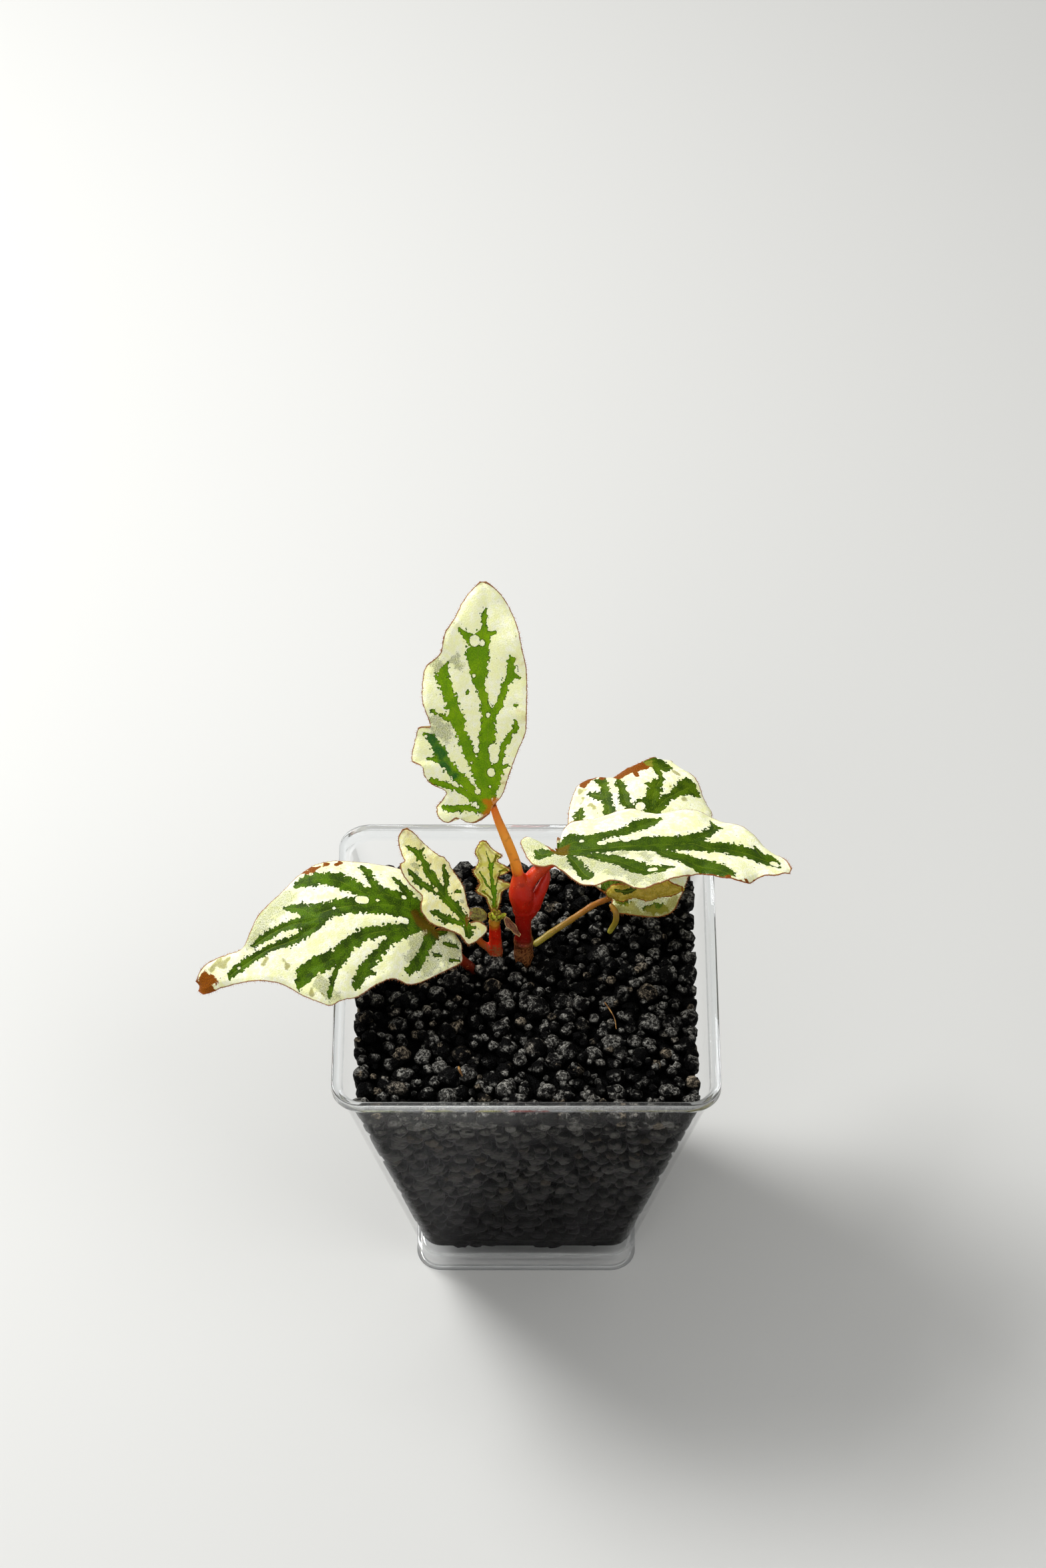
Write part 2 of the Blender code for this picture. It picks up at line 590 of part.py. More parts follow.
def make_bud(home, axis):
    """Curled young leaves as knobs round a small core."""
    def knob(centre, sizes, turn):
        bm = bmesh.new()
        bmesh.ops.create_icosphere(bm, subdivisions=1, radius=BUD_RADIUS)
        shape = Matrix.Rotation(turn, 4, "Z") @ Matrix.Diagonal((*sizes, 1))
        bmesh.ops.transform(bm, matrix=Matrix.Translation(centre) @ shape, verts=bm.verts)
        return object_from("bud", bm, home, axis)
    centre = Vector(BUD_CENTRE)
    bud = knob(centre, CORE_SHAPE, 0)
    knobs = []
    for i in range(BUD_KNOBS):
        turn = math.tau * i / BUD_KNOBS
        rise = BUD_RISE * math.cos(2.3 * i)
        place = centre + Vector((math.cos(turn), 0.6 * math.sin(turn), rise)) * BUD_RADIUS
        knobs.append(knob(place, KNOB_SHAPE, turn))
    return join_all(bud, knobs)


def main():
    clear_scene()
    plant = collection("potted_begonia")
    cutters = collection("cutters")
    axis = bpy.data.objects.new("pot_axis", None)
    axis.location = Vector(POT_AXIS) * MM
    plant.objects.link(axis)
    bpy.context.view_layer.update()

    make_pot(plant, axis)
    soil = make_soil(plant, axis)
    bore_soil(soil, cutters, axis)
    for name, branches in STEMS.items():
        make_stem(name, branches, plant, axis)
    for name, leaf in LEAVES.items():
        make_leaf(name, leaf, plant, axis)
    make_bud(plant, axis)

    for part in plant.objects:
        if part.type == "MESH":
            part.data.materials.clear()
            part.data.materials.append(finish(FINISH_OF.get(part.name, "leaf")))
            if part.name != "soil":
                part.data.shade_smooth()
                part.data.set_sharp_from_angle(angle=math.radians(35))


main()
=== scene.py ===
import math

import bmesh
import bpy
import numpy as np
from mathutils import Matrix, Vector


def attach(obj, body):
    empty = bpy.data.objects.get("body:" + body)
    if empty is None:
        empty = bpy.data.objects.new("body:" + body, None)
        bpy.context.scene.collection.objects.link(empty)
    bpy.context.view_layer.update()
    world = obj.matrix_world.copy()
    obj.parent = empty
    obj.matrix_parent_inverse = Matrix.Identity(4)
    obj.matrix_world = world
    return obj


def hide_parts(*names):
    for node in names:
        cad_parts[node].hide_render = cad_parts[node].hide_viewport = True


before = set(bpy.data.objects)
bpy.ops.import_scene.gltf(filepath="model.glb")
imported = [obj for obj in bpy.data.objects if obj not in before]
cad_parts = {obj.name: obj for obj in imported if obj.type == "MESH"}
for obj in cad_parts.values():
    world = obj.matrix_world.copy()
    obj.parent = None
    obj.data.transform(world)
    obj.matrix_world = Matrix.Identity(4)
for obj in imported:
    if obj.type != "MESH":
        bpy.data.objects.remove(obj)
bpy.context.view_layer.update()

mm = 0.001
potAxis = np.array([6.07, -6.75, 0.0])  # the cup's axis from the middle of the plant's footprint, in mm


def rgb(red, green, blue):  # a colour as seen, from 0 to 255, for a shader
    return tuple((part / 255) ** 2.2 for part in (red, green, blue)) + (1.0,)


def addObject(name, data, place=(0, 0, 0)):
    made = bpy.data.objects.new(name, data)
    made.location = place
    bpy.context.scene.collection.objects.link(made)
    return made


# Camera, light and floor

camera = {"place": (0.00547, -0.66435, 0.7853), "tilt": 44.4, "lens": 118.63, "sensor": 36.0, "near": 0.01}
lights = {
    "keyLight": {"place": (-0.4, 0.32, 0.52), "size": 0.3, "power": 6.2},
    "fillLight": {"place": (0.5, -0.3, 0.6), "size": 0.6, "power": 1.9},
    "frontLight": {"place": (-0.2, -0.7, 0.45), "size": 0.5, "power": 1.6},
}
room = {"floor": 6.0, "floorTone": (198, 198, 195), "roughness": 0.6,
        "air": (240, 240, 240), "airPower": 0.36}


def setStage():
    lens = bpy.data.cameras.new("camera")
    lens.lens = camera["lens"]
    lens.sensor_width = camera["sensor"]
    lens.clip_start = camera["near"]
    eye = addObject("camera", lens, camera["place"])
    eye.rotation_euler.x = math.radians(camera["tilt"])
    bpy.context.scene.camera = eye
    bpy.context.scene.view_settings.view_transform = "Standard"
    for name, facts in lights.items():
        lamp = bpy.data.lights.new(name, "AREA")
        lamp.size = facts["size"]
        lamp.energy = facts["power"]
        holder = addObject(name, lamp, facts["place"])
        holder.rotation_euler = (-Vector(facts["place"])).to_track_quat("-Z", "Y").to_euler()
    world = bpy.data.worlds.new("studio")
    world.use_nodes = True
    air = world.node_tree.nodes["Background"]
    air.inputs["Color"].default_value = rgb(*room["air"])
    air.inputs["Strength"].default_value = room["airPower"]
    bpy.context.scene.world = world
    half = room["floor"] / 2
    sheet = bpy.data.meshes.new("floor")
    sheet.from_pydata([(-half, -half, 0), (half, -half, 0), (half, half, 0), (-half, half, 0)], [],
                      [(0, 1, 2, 3)])
    paint = Paint("floorPaint", {"Base Color": room["floorTone"], "Roughness": room["roughness"]})
    sheet.materials.append(paint.material)
    addObject("floor", sheet)


# Node trees written as expressions

class Wire:  # a socket that takes part in sums
    def __init__(self, graph, socket):
        self.graph = graph
        self.socket = socket

    def math(self, operation, *others):
        return self.graph.node("ShaderNodeMath", dict(enumerate((self, *others))), operation=operation)

    def __add__(self, other):
        return self.math("ADD", other)

    def __sub__(self, other):
        return self.math("SUBTRACT", other)

    def __rsub__(self, other):
        return self.graph.node("ShaderNodeMath", {0: other, 1: self}, operation="SUBTRACT")

    def __mul__(self, other):
        return self.math("MULTIPLY", other)

    def __truediv__(self, other):
        return self.math("DIVIDE", other)

    __radd__ = __add__
    __rmul__ = __mul__

    def smooth(self, low, high):  # 0 at low and 1 at high, with soft ends
        return self.graph.node("ShaderNodeMapRange", {"Value": self, "From Min": low, "From Max": high},
                               interpolation_type="SMOOTHSTEP")

    def parts(self):
        split = self.graph.node("ShaderNodeSeparateXYZ", {0: self})
        return [Wire(self.graph, split.socket.node.outputs[i]) for i in range(3)]


class Graph:
    def __init__(self, tree):
        self.tree = tree

    def feed(self, socket, value):  # a colour as seen is turned into the shader's own
        if isinstance(value, Wire):
            self.tree.links.new(value.socket, socket)
        else:
            socket.default_value = rgb(*value) if socket.type == "RGBA" else value

    def node(self, kind, sockets={}, out=0, **settings):
        made = self.tree.nodes.new(kind)
        for key, value in settings.items():
            setattr(made, key, value)
        for key, value in sockets.items():
            self.feed(made.inputs[key], value)
        return Wire(self, made.outputs[out])


class Paint(Graph):  # a material on the Principled shader
    def __init__(self, name, constants):
        self.material = bpy.data.materials.new(name)
        self.material.use_nodes = True
        super().__init__(self.material.node_tree)
        self.shader = self.tree.nodes["Principled BSDF"]
        self.wear(constants)

    def wear(self, sockets):
        for key, value in sockets.items():
            self.feed(self.shader.inputs[key], value)

    def place(self):
        return self.node("ShaderNodeTexCoord", out="Object")

    def inCup(self):  # mm from the cup's axis, across and along, and mm up
        x, y, z = self.place().parts()
        return (x / mm - potAxis[0]).math("ABSOLUTE"), (y / mm - potAxis[1]).math("ABSOLUTE"), z / mm

    def mark(self, name, out="Vector"):
        return self.node("ShaderNodeAttribute", out=out, attribute_name=name)

    def noise(self, where, scale, detail=2.0, rough=0.5):
        return self.node("ShaderNodeTexNoise",
                         {"Vector": where, "Scale": scale, "Detail": detail, "Roughness": rough})

    def stretch(self, where, shares):
        return self.node("ShaderNodeVectorMath", {0: where, 1: shares}, operation="MULTIPLY")

    def cells(self, where, scale, feature="F1"):
        return self.node("ShaderNodeTexVoronoi", {"Vector": where, "Scale": scale}, feature=feature)

    def mix(self, factor, first, second):
        return self.node("ShaderNodeMix", {0: factor, 6: first, 7: second}, 2, data_type="RGBA")

    def ramp(self, factor, stops):
        made = self.node("ShaderNodeValToRGB", {"Fac": factor})
        elements = made.socket.node.color_ramp.elements
        while len(elements) < len(stops):
            elements.new(1.0)
        for element, (level, tone) in zip(elements, stops):
            element.position = level
            element.color = rgb(*tone)
        return made

    def bump(self, height, strength, distance):
        return self.node("ShaderNodeBump", {"Height": height, "Strength": strength, "Distance": distance})


class Tree(Graph):  # a Geometry Nodes tree with named inputs
    def __init__(self, name, inputs):
        super().__init__(bpy.data.node_groups.new(name, "GeometryNodeTree"))
        face = self.tree.interface
        face.new_socket("Geometry", in_out="INPUT", socket_type="NodeSocketGeometry")
        for label, kind in inputs.items():
            face.new_socket(label, in_out="INPUT", socket_type="NodeSocket" + kind)
        face.new_socket("Material", in_out="INPUT", socket_type="NodeSocketMaterial")
        face.new_socket("Geometry", in_out="OUTPUT", socket_type="NodeSocketGeometry")
        self.source = self.tree.nodes.new("NodeGroupInput")

    def input(self, label):
        return Wire(self, self.source.outputs[label])

    def random(self, low, high, seed):  # one number for each point
        return self.node("FunctionNodeRandomValue", {2: low, 3: high, 8: seed}, 1, data_type="FLOAT")

    def randomVector(self, reach, seed):
        return self.node("FunctionNodeRandomValue", {0: (-reach,) * 3, 1: (reach,) * 3, 8: seed},
                         data_type="FLOAT_VECTOR")

    def stray(self, label, seed):  # a random vector, as large as the input says
        anyWay = self.randomVector(1.0, seed)
        return self.node("ShaderNodeVectorMath", {0: anyWay, "Scale": self.input(label)}, operation="SCALE")

    def scatter(self, density, seed):  # points over the host's faces, not too close together
        return self.node("GeometryNodeDistributePointsOnFaces",
                         {"Mesh": self.input("Geometry"), "Distance Min": self.input("Spacing"),
                          "Density Max": density, "Seed": seed}, distribute_method="POISSON")

    def end(self, geometry):
        real = self.node("GeometryNodeRealizeInstances", {"Geometry": geometry})
        painted = self.node("GeometryNodeSetMaterial", {"Geometry": real, "Material": self.input("Material")})
        self.feed(self.tree.nodes.new("NodeGroupOutput").inputs["Geometry"], painted)
        return self

    def grow(self, host, paint, lengths, numbers):  # the plain mesh that the tree makes from a host mesh
        values = {"Material": paint, **numbers, **{key: length * mm for key, length in lengths.items()}}
        holder = addObject("holder", host)
        modifier = holder.modifiers.new("grow", "NODES")
        modifier.node_group = self.tree
        for item in self.tree.interface.items_tree:
            if item.name in values:
                modifier[item.identifier] = values[item.name]
        return settled(holder)


def settled(holder):  # a mesh with the holder's modifiers applied, and the holder gone
    mesh = bpy.data.meshes.new_from_object(holder.evaluated_get(bpy.context.evaluated_depsgraph_get()))
    bpy.data.objects.remove(holder, do_unlink=True)
    return mesh


def addPiece(name, mesh, slot, *nodes):
    mesh.name = name
    piece = addObject(name, mesh)
    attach(piece, "root")
    if nodes:
        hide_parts(*nodes)
    print(name, len(mesh.polygons))


def meshFrom(points, faces=(), edges=()):  # points in mm
    mesh = bpy.data.meshes.new("shape")
    mesh.from_pydata((np.asarray(points) * mm).tolist(), edges, faces)
    return mesh


def store(mesh, name, values):  # a vector for each vertex
    attribute = mesh.attributes.new(name, "FLOAT_VECTOR", "POINT")
    attribute.data.foreach_set("vector", np.asarray(values, np.float32).ravel())


def vectorsOf(data, key):
    values = np.zeros(len(data) * 3)
    data.foreach_get(key, values)
    return values.reshape(-1, 3)


def movePoints(mesh, points):  # points in mm
    mesh.vertices.foreach_set("co", (points * mm).ravel())
    mesh.update()


def unit(vectors):
    return vectors / np.maximum(np.linalg.norm(vectors, axis=-1, keepdims=True), 1e-9)


def turnOutwards(mesh):
    bm = bmesh.new()
    bm.from_mesh(mesh)
    bmesh.ops.recalc_face_normals(bm, faces=bm.faces)
    bm.to_mesh(mesh)
    bm.free()


# The cup

cup = {
    "rimWidth": 72.0, "height": 66.0, "footWidth": 42.5, "footHeight": 4.0, "wall": 1.0,
    "wallFootWidth": 41.5, "lipHeight": 2.2, "lipStep": 0.5, "lipSlope": 0.25, "ledge": 1.2,
    "rimCorner": 6.0, "footCorner": 5.0, "nubRadius": 2.2, "nubHeight": 0.7, "nubSlope": 0.3,
    "footSlope": 0.1, "cornerSteps": 14, "roundSteps": 4, "sharp": 40,
}
floorTop = cup["footHeight"] + cup["wall"]
soilTop = cup["height"] - 8.0
wallTopHalf = cup["rimWidth"] / 2 - cup["lipStep"]
wallLean = (wallTopHalf - cup["wallFootWidth"] / 2) / (cup["height"] - cup["footHeight"])
# Half the inside width at the floor
innerFoot = cup["wallFootWidth"] / 2 + wallLean * cup["wall"] - cup["wall"]


def slope(low, high, z):  # goes evenly from low at the foot to high at the rim
    return low + (high - low) * (z - cup["footHeight"]) / (cup["height"] - cup["footHeight"])


def outerHalf(z):
    return slope(cup["wallFootWidth"] / 2, wallTopHalf, z)


def cornerAt(z, inset):
    return slope(cup["footCorner"], cup["rimCorner"], np.maximum(z, cup["footHeight"])) - inset


def cupProfile():  # half width, corner radius and height from the middle below, round the wall, to the floor
    foot, rim, wall, draft = cup["footWidth"] / 2, cup["rimWidth"] / 2, cup["wall"], cup["footSlope"]
    under, top, lip = cup["footHeight"], cup["height"], cup["height"] - cup["lipHeight"]
    nub, nubLow, ledge = cup["nubRadius"], cup["footHeight"] - cup["nubHeight"], top - cup["ledge"]
    path = [  # half width, inset of the corner, height, rounding
        (nub - cup["nubSlope"], None, nubLow, 0.25),
        (nub, None, under, 0.15),
        (foot - wall - draft, wall + draft, under, 0.35),
        (foot - wall, wall, 0, 0.3),
        (foot, 0, 0, 0.35),
        (foot, 0, under - draft, 0.3),
        (outerHalf(under), 0, under, 0.15),
        (outerHalf(lip), 0, lip, 0.3),
        (rim, 0, lip + cup["lipSlope"], 0.25),
        (rim, 0, top, 0.4),
        (rim - wall, wall, top, 0.35),
        (outerHalf(ledge) - wall, wall, ledge, 0.6),
        (outerHalf(floorTop + wall) - wall, wall, floorTop + wall, 0.9),
        (outerHalf(floorTop) - 2 * wall, 2 * wall, floorTop, 0.9),
    ]
    corners = [(half, half if inset is None else float(cornerAt(z, inset)), z) for half, inset, z, _ in path]
    corners = np.array([(0, 0, nubLow), *corners, (0, 0, floorTop)])
    points = [corners[0]]
    for i, (*_, rounding) in enumerate(path, 1):
        before, here, after = corners[i - 1], corners[i], corners[i + 1]
        start, stop = (here + (other - here) * min(rounding / np.linalg.norm(other - here), 0.45)
                       for other in (before, after))
        for t in np.linspace(0, 1, cup["roundSteps"] + 1):
            points.append(start * (1 - t) ** 2 + here * 2 * t * (1 - t) + stop * t**2)
    points.append(corners[-1])
    return points


def cupTree():  # turns a profile of half widths, corner radii and heights into a rounded square vessel
    tree = Tree("roundedSquare", {"Corner Steps": "Int"})
    profile = tree.input("Geometry")
    steps = tree.input("Corner Steps")
    rows = tree.node("GeometryNodeAttributeDomainSize", {"Geometry": profile})
    grid = tree.node("GeometryNodeMeshGrid", {"Vertices X": (steps + 1) * 4 + 1, "Vertices Y": rows})
    index = tree.node("GeometryNodeInputIndex")
    column = (index / rows).math("FLOOR")
    quarter = (column / (steps + 1)).math("FLOOR")
    turn = (quarter + column.math("MODULO", steps + 1) / steps) * (math.pi / 2)
    middle = (quarter + 0.5) * (math.pi / 2)
    here = tree.node("GeometryNodeInputPosition")
    station = tree.node("GeometryNodeSampleIndex",
                        {"Geometry": profile, "Value": here, "Index": index.math("MODULO", rows)},
                        data_type="FLOAT_VECTOR")
    half, corner, height = station.parts()
    across, along = (middle.math(wave).math("SIGN") * (half - corner) + corner * turn.math(wave)
                     for wave in ("COSINE", "SINE"))
    place = tree.node("ShaderNodeCombineXYZ", {0: across, 1: along, 2: height})
    bent = tree.node("GeometryNodeSetPosition", {"Geometry": grid, "Position": place})
    return tree.end(tree.node("GeometryNodeMergeByDistance", {"Geometry": bent, "Distance": 1e-6}))


# How much of the light the clear plastic stops: where it is thin, and more at its thicker places
clear = {"tone": (247, 250, 252), "thin": 0.03, "lip": 0.3, "foot": 0.08, "edge": 0.6, "corner": 0.3,
         "band": 0.05, "scratch": 0.04}


def clearPaint():
    paint = Paint("clearPlastic", {"Base Color": clear["tone"], "Transmission Weight": 1.0, "IOR": 1.49})
    smear = paint.noise(paint.place(), 90, 3)
    scratch = paint.noise(paint.place(), 900, 2)
    # The thin walls let most light straight through, and edges and corners catch it
    across, along, level = paint.inCup()
    top, lipFoot, footTop = cup["height"], cup["height"] - cup["lipHeight"], cup["footHeight"]
    lip = level.smooth(lipFoot - 0.6, lipFoot)
    foot = level.smooth(floorTop + 0.6, footTop - 0.2)
    edges = (level.smooth(0.9, 0.3)
             + level.smooth(footTop - 1.1, footTop - 0.5) * level.smooth(footTop + 0.6, footTop + 0.1)
             + level.smooth(top - 0.8, top - 0.3)
             + level.smooth(lipFoot - 0.4, lipFoot) * level.smooth(lipFoot + 0.8, lipFoot + 0.4))
    band = level.smooth(soilTop - 4, soilTop + 2)
    half = (level - footTop) * wallLean + cup["wallFootWidth"] / 2
    corner = (half - across.math("MINIMUM", along)).smooth(4.5, 1.5) * (1 - lip) * (1 - foot)
    paint.wear({"Roughness": smear.smooth(0.35, 0.75) * 0.03 + 0.01,
                "Alpha": lip * clear["lip"] + foot * clear["foot"] + edges * clear["edge"]
                         + corner * clear["corner"] + band * clear["band"]
                         + (scratch.smooth(0.62, 0.72) * clear["scratch"] + clear["thin"]),
                "Normal": paint.bump(smear + scratch * 0.05, 0.05, 0.0003)})
    return paint.material


def makeCup():
    mesh = cupTree().grow(meshFrom(cupProfile()), clearPaint(), {}, {"Corner Steps": cup["cornerSteps"]})
    mesh.transform(Matrix.Translation(Vector(potAxis) * mm))
    turnOutwards(mesh)
    mesh.shade_smooth()
    mesh.set_sharp_from_angle(angle=math.radians(cup["sharp"]))
    addPiece("clear_cup", mesh, "clear_plastic", "pot")


# Soil: a core, and loose granules on top and behind the wall

soil = {
    "shapes": 6, "shapeStep": 3.7, "lumps": 1.1, "swell": 1.1, "density": 2e6, "gap": 0.12, "arc": 8,
    # the hollow tone is painted shade, and the grey and brown dust tones also paint highlights
    "tones": {"hollowShade": (0, 0, 0), "dark": (2, 2, 2), "light": (12, 11, 11), "greyDustAndHighlight": (150, 148, 141),
              "brownDustAndHighlight": (156, 136, 106)},
    "core": {"foot": 0.3, "bevel": 1.2, "narrow": 3.5, "top": soilTop - 1.6, "gap": 0.25, "room": 1.45,
             "roomFrom": 4, "roomRun": 4, "levels": 16},
    "beds": {  # how far inside the cup's wall, and for a level bed its height from the soil's top
        "soil_top_large": {"inset": 1.3, "rise": -1.05, "seed": 4,
                           "sizes": {"Spacing": 3.0, "Smallest": 1.3, "Largest": 2.5, "Scatter": 0.5}},
        "soil_top_small": {"inset": 1.3, "rise": -0.45, "seed": 9,
                           "sizes": {"Spacing": 1.9, "Smallest": 0.7, "Largest": 1.15, "Scatter": 0.6}},
        "soil_sides": {"inset": 1.15, "levels": (floorTop + 1.6, soilTop - 0.9, 12), "seed": 2,
                       "sizes": {"Spacing": 2.2, "Smallest": 1.15, "Largest": 1.85, "Scatter": 0.35}},
    },
}


def granuleTree():  # uneven granules scattered over a bed
    tree = Tree("granules", {"Spacing": "Float", "Smallest": "Float", "Largest": "Float",
                             "Scatter": "Float", "Seed": "Int"})
    seed = tree.input("Seed")
    bed = tree.scatter(soil["density"], seed)
    jitter = tree.stray("Scatter", seed + 1)
    points = tree.node("GeometryNodeSetPosition", {"Geometry": bed, "Offset": jitter})
    shapes = tree.node("GeometryNodeGeometryToInstance")
    here = tree.node("GeometryNodeInputPosition")
    for i in range(soil["shapes"]):
        ball = tree.node("GeometryNodeMeshIcoSphere", {"Radius": 1.0, "Subdivisions": 2})
        lumps = tree.node("ShaderNodeTexNoise",
                          {"Vector": here, "W": soil["shapeStep"] * i, "Scale": soil["lumps"], "Detail": 1.0},
                          "Color", noise_dimensions="4D")
        swell = tree.node("ShaderNodeVectorMath",
                          {0: lumps, 1: (soil["swell"],) * 3, 2: (-soil["swell"] / 2,) * 3},
                          operation="MULTIPLY_ADD")
        uneven = tree.node("GeometryNodeSetPosition", {"Geometry": ball, "Offset": swell})
        tree.feed(shapes.socket.node.inputs["Geometry"], uneven)
    turn = tree.node("FunctionNodeEulerToRotation", {0: tree.randomVector(math.pi, seed + 2)})
    small, large = tree.input("Smallest"), tree.input("Largest")
    size = small + (large - small) * tree.random(0.0, 1.0, seed + 3).math("POWER", 2.0)
    pick = tree.node("FunctionNodeRandomValue", {4: 0, 5: soil["shapes"] - 1, 8: seed + 4}, 2,
                     data_type="INT")
    grains = tree.node("GeometryNodeInstanceOnPoints",
                       {"Points": points, "Instance": shapes, "Pick Instance": True, "Instance Index": pick,
                        "Rotation": turn, "Scale": size})
    tone = tree.node("GeometryNodeStoreNamedAttribute",
                     {"Geometry": grains, "Name": "tone", "Value": tree.random(0.0, 1.0, seed + 5)},
                     data_type="FLOAT", domain="INSTANCE")
    return tree.end(tone)


def soilPaint(name, behindWall):
    paint = Paint(name, {"IOR": 1.13})
    place = paint.place()
    across, along, height = paint.inCup()
    tone = paint.mark("tone", "Fac")
    grit = paint.noise(place, 1500, 4, 0.7)
    crust = paint.noise(place, 420, 3, 0.6)
    wrinkle = (paint.noise(place, 1000, 2, 0.6) - 0.5).math("ABSOLUTE").smooth(0.11, 0.01)
    if behindWall:  # pressed flat at the wall, grey with dust and painted light there, with black gaps painted as shade, and darker towards the foot
        half = (height - floorTop) * wallLean + innerFoot
        # painted shade: grains deeper inside than the wall's face go black
        lit = (half - across.math("MAXIMUM", along)).smooth(0.8, 0.25)
        # painted shade: black oval gaps between the grains pressed at the wall
        gapShade = paint.noise(paint.stretch(place, (1, 1, 1.9)), 320, 1).smooth(0.38, 0.45)
        # paler higher up, darker towards the foot
        dry = height.smooth(16, 36) * 0.16 + height.smooth(49, soilTop - 1) * 0.4
        dustAndHighlight = (grit + crust * 0.5 + tone * 0.2).smooth(0.62, 1.1) * lit * gapShade * dry
    else:  # on top, grey dust and a painted highlight lie on the upward faces, and the hollows are painted black as shade
        _, _, up = paint.node("ShaderNodeNewGeometry", out="Normal").parts()
        # painted shade: grains below the top layer go black
        lit = height.smooth(soilTop - 2.2, soilTop + 0.4)
        # painted highlight: upward faces, which the light above would catch, go grey, mixed with real dust
        upwardHighlight = up.smooth(0.3, 0.85) * (crust + tone * 0.2).smooth(0.54, 0.67) * lit
        dustAndHighlight = upwardHighlight * (wrinkle * 0.8 + 0.15) * grit.smooth(0.36, 0.58)
    own = soil["tones"]
    # painted shade: black wherever the grains are not lit
    body = paint.mix(lit, own["hollowShade"], paint.mix(tone, own["dark"], own["light"]))
    brownish = (tone * 7).math("FRACT").smooth(0.84, 0.92) * 0.6
    paint.wear({"Base Color": paint.mix(dustAndHighlight, body, paint.mix(brownish, own["greyDustAndHighlight"], own["brownDustAndHighlight"])),
                "Roughness": dustAndHighlight * 0.3 + 0.5,
                "Normal": paint.bump(grit + crust * 1.5 + wrinkle * 0.3, 0.9, 0.0005)})
    return paint.material


def squarePoints(half, corner, z):
    points = []
    for quarter, (across, along) in enumerate(((1, 1), (-1, 1), (-1, -1), (1, -1))):
        for step in range(soil["arc"] + 1):
            angle = math.radians(90 * (quarter + step / soil["arc"]))
            points.append((across * (half - corner) + corner * math.cos(angle),
                           along * (half - corner) + corner * math.sin(angle), z))
    return points


def ringFaces(rings, count, capped=True):
    faces = [(low + i, low + (i + 1) % count, low + count + (i + 1) % count, low + count + i)
             for low in range(0, (rings - 1) * count, count) for i in range(count)]
    if capped:
        faces += [tuple(reversed(range(count))), tuple(range((rings - 1) * count, rings * count))]
    return faces


def coreMesh():  # fills the cup's foot out to the wall, and higher up leaves room for the granules
    facts = soil["core"]
    levels = [floorTop + facts["foot"], floorTop + facts["bevel"],
              *np.linspace(floorTop + facts["narrow"], facts["top"], facts["levels"])]
    rows = []
    for z in levels:
        room = np.clip((z - floorTop - facts["roomFrom"]) / facts["roomRun"], 0, 1) * facts["room"]
        inset = cup["wall"] + facts["gap"] + room + max(floorTop + facts["bevel"] - z, 0)
        rows.append(squarePoints(outerHalf(z) - inset, cornerAt(z, inset), z))
    mesh = meshFrom(np.concatenate(rows) + potAxis, ringFaces(len(rows), len(rows[0])))
    turnOutwards(mesh)
    return mesh


def bedMesh(bed):  # what the granules are scattered over
    inset = cup["wall"] + bed["inset"]
    if "levels" in bed:
        rows = [squarePoints(outerHalf(z) - inset, cornerAt(z, inset), z)
                for z in np.linspace(*bed["levels"])]
        return meshFrom(np.concatenate(rows), ringFaces(len(rows), len(rows[0]), False))
    half = outerHalf(soilTop) - cup["wall"] - bed["inset"]
    rim = squarePoints(half, cornerAt(soilTop, inset), soilTop + bed["rise"])
    return meshFrom(rim, [tuple(range(len(rim)))])


def pressInside(mesh):  # what would pass the cup's wall lies flat against it
    points = vectorsOf(mesh.vertices, "co") / mm
    z = np.clip(points[:, 2], floorTop + soil["gap"], None)
    inset = cup["wall"] + soil["gap"]
    corner = cornerAt(z, inset)
    flat = (outerHalf(z) - inset - corner)[:, None]
    past = np.maximum(np.abs(points[:, :2]) - flat, 0)
    reach = np.hypot(*past.T)
    pull = np.where(reach > corner, corner / np.maximum(reach, 1e-9), 1)
    inner = np.minimum(np.abs(points[:, :2]), flat) + past * pull[:, None]
    points[:, :2] = np.sign(points[:, :2]) * inner
    points[:, 2] = z
    movePoints(mesh, points + potAxis)


def makeSoil():
    topPaint = soilPaint("blackGranules", False)
    sidePaint = soilPaint("granulesBehindWall", True)
    tree = granuleTree()
    core = coreMesh()
    # the core wears the wall's paint, which paints it black as shade behind the grains
    core.materials.append(sidePaint)
    addPiece("soil_core", core, "soil", "soil")
    for name, bed in soil["beds"].items():
        paint = sidePaint if "levels" in bed else topPaint
        grains = tree.grow(bedMesh(bed), paint, bed["sizes"], {"Seed": bed["seed"]})
        pressInside(grains)
        grains.shade_smooth()
        addPiece(name, grains, "soil")


# Routes and blades

class Route:  # a smooth curve through points, read at fractions of its length
    def __init__(self, points):
        self.points = np.array(points, float)
        count = len(points)
        self.marks = np.concatenate([[0], np.cumsum(np.linalg.norm(np.diff(self.points, axis=0), axis=1))])
        before = np.maximum(np.arange(count) - 1, 0)
        after = np.minimum(np.arange(count) + 1, count - 1)
        run = (self.marks[after] - self.marks[before])[:, None]
        self.slopes = (self.points[after] - self.points[before]) / run

    def at(self, fraction):
        place = np.asarray(fraction) * self.marks[-1]
        i = np.clip(np.searchsorted(self.marks, place, side="right") - 1, 0, len(self.points) - 2)
        run = self.marks[i + 1] - self.marks[i]
        h = ((place - self.marks[i]) / run)[..., None]
        run = run[..., None]
        return (self.points[i] * (2 * h**3 - 3 * h**2 + 1) + self.points[i + 1] * (3 * h**2 - 2 * h**3)
                + self.slopes[i] * run * (h**3 - 2 * h**2 + h) + self.slopes[i + 1] * run * (h**3 - h**2))


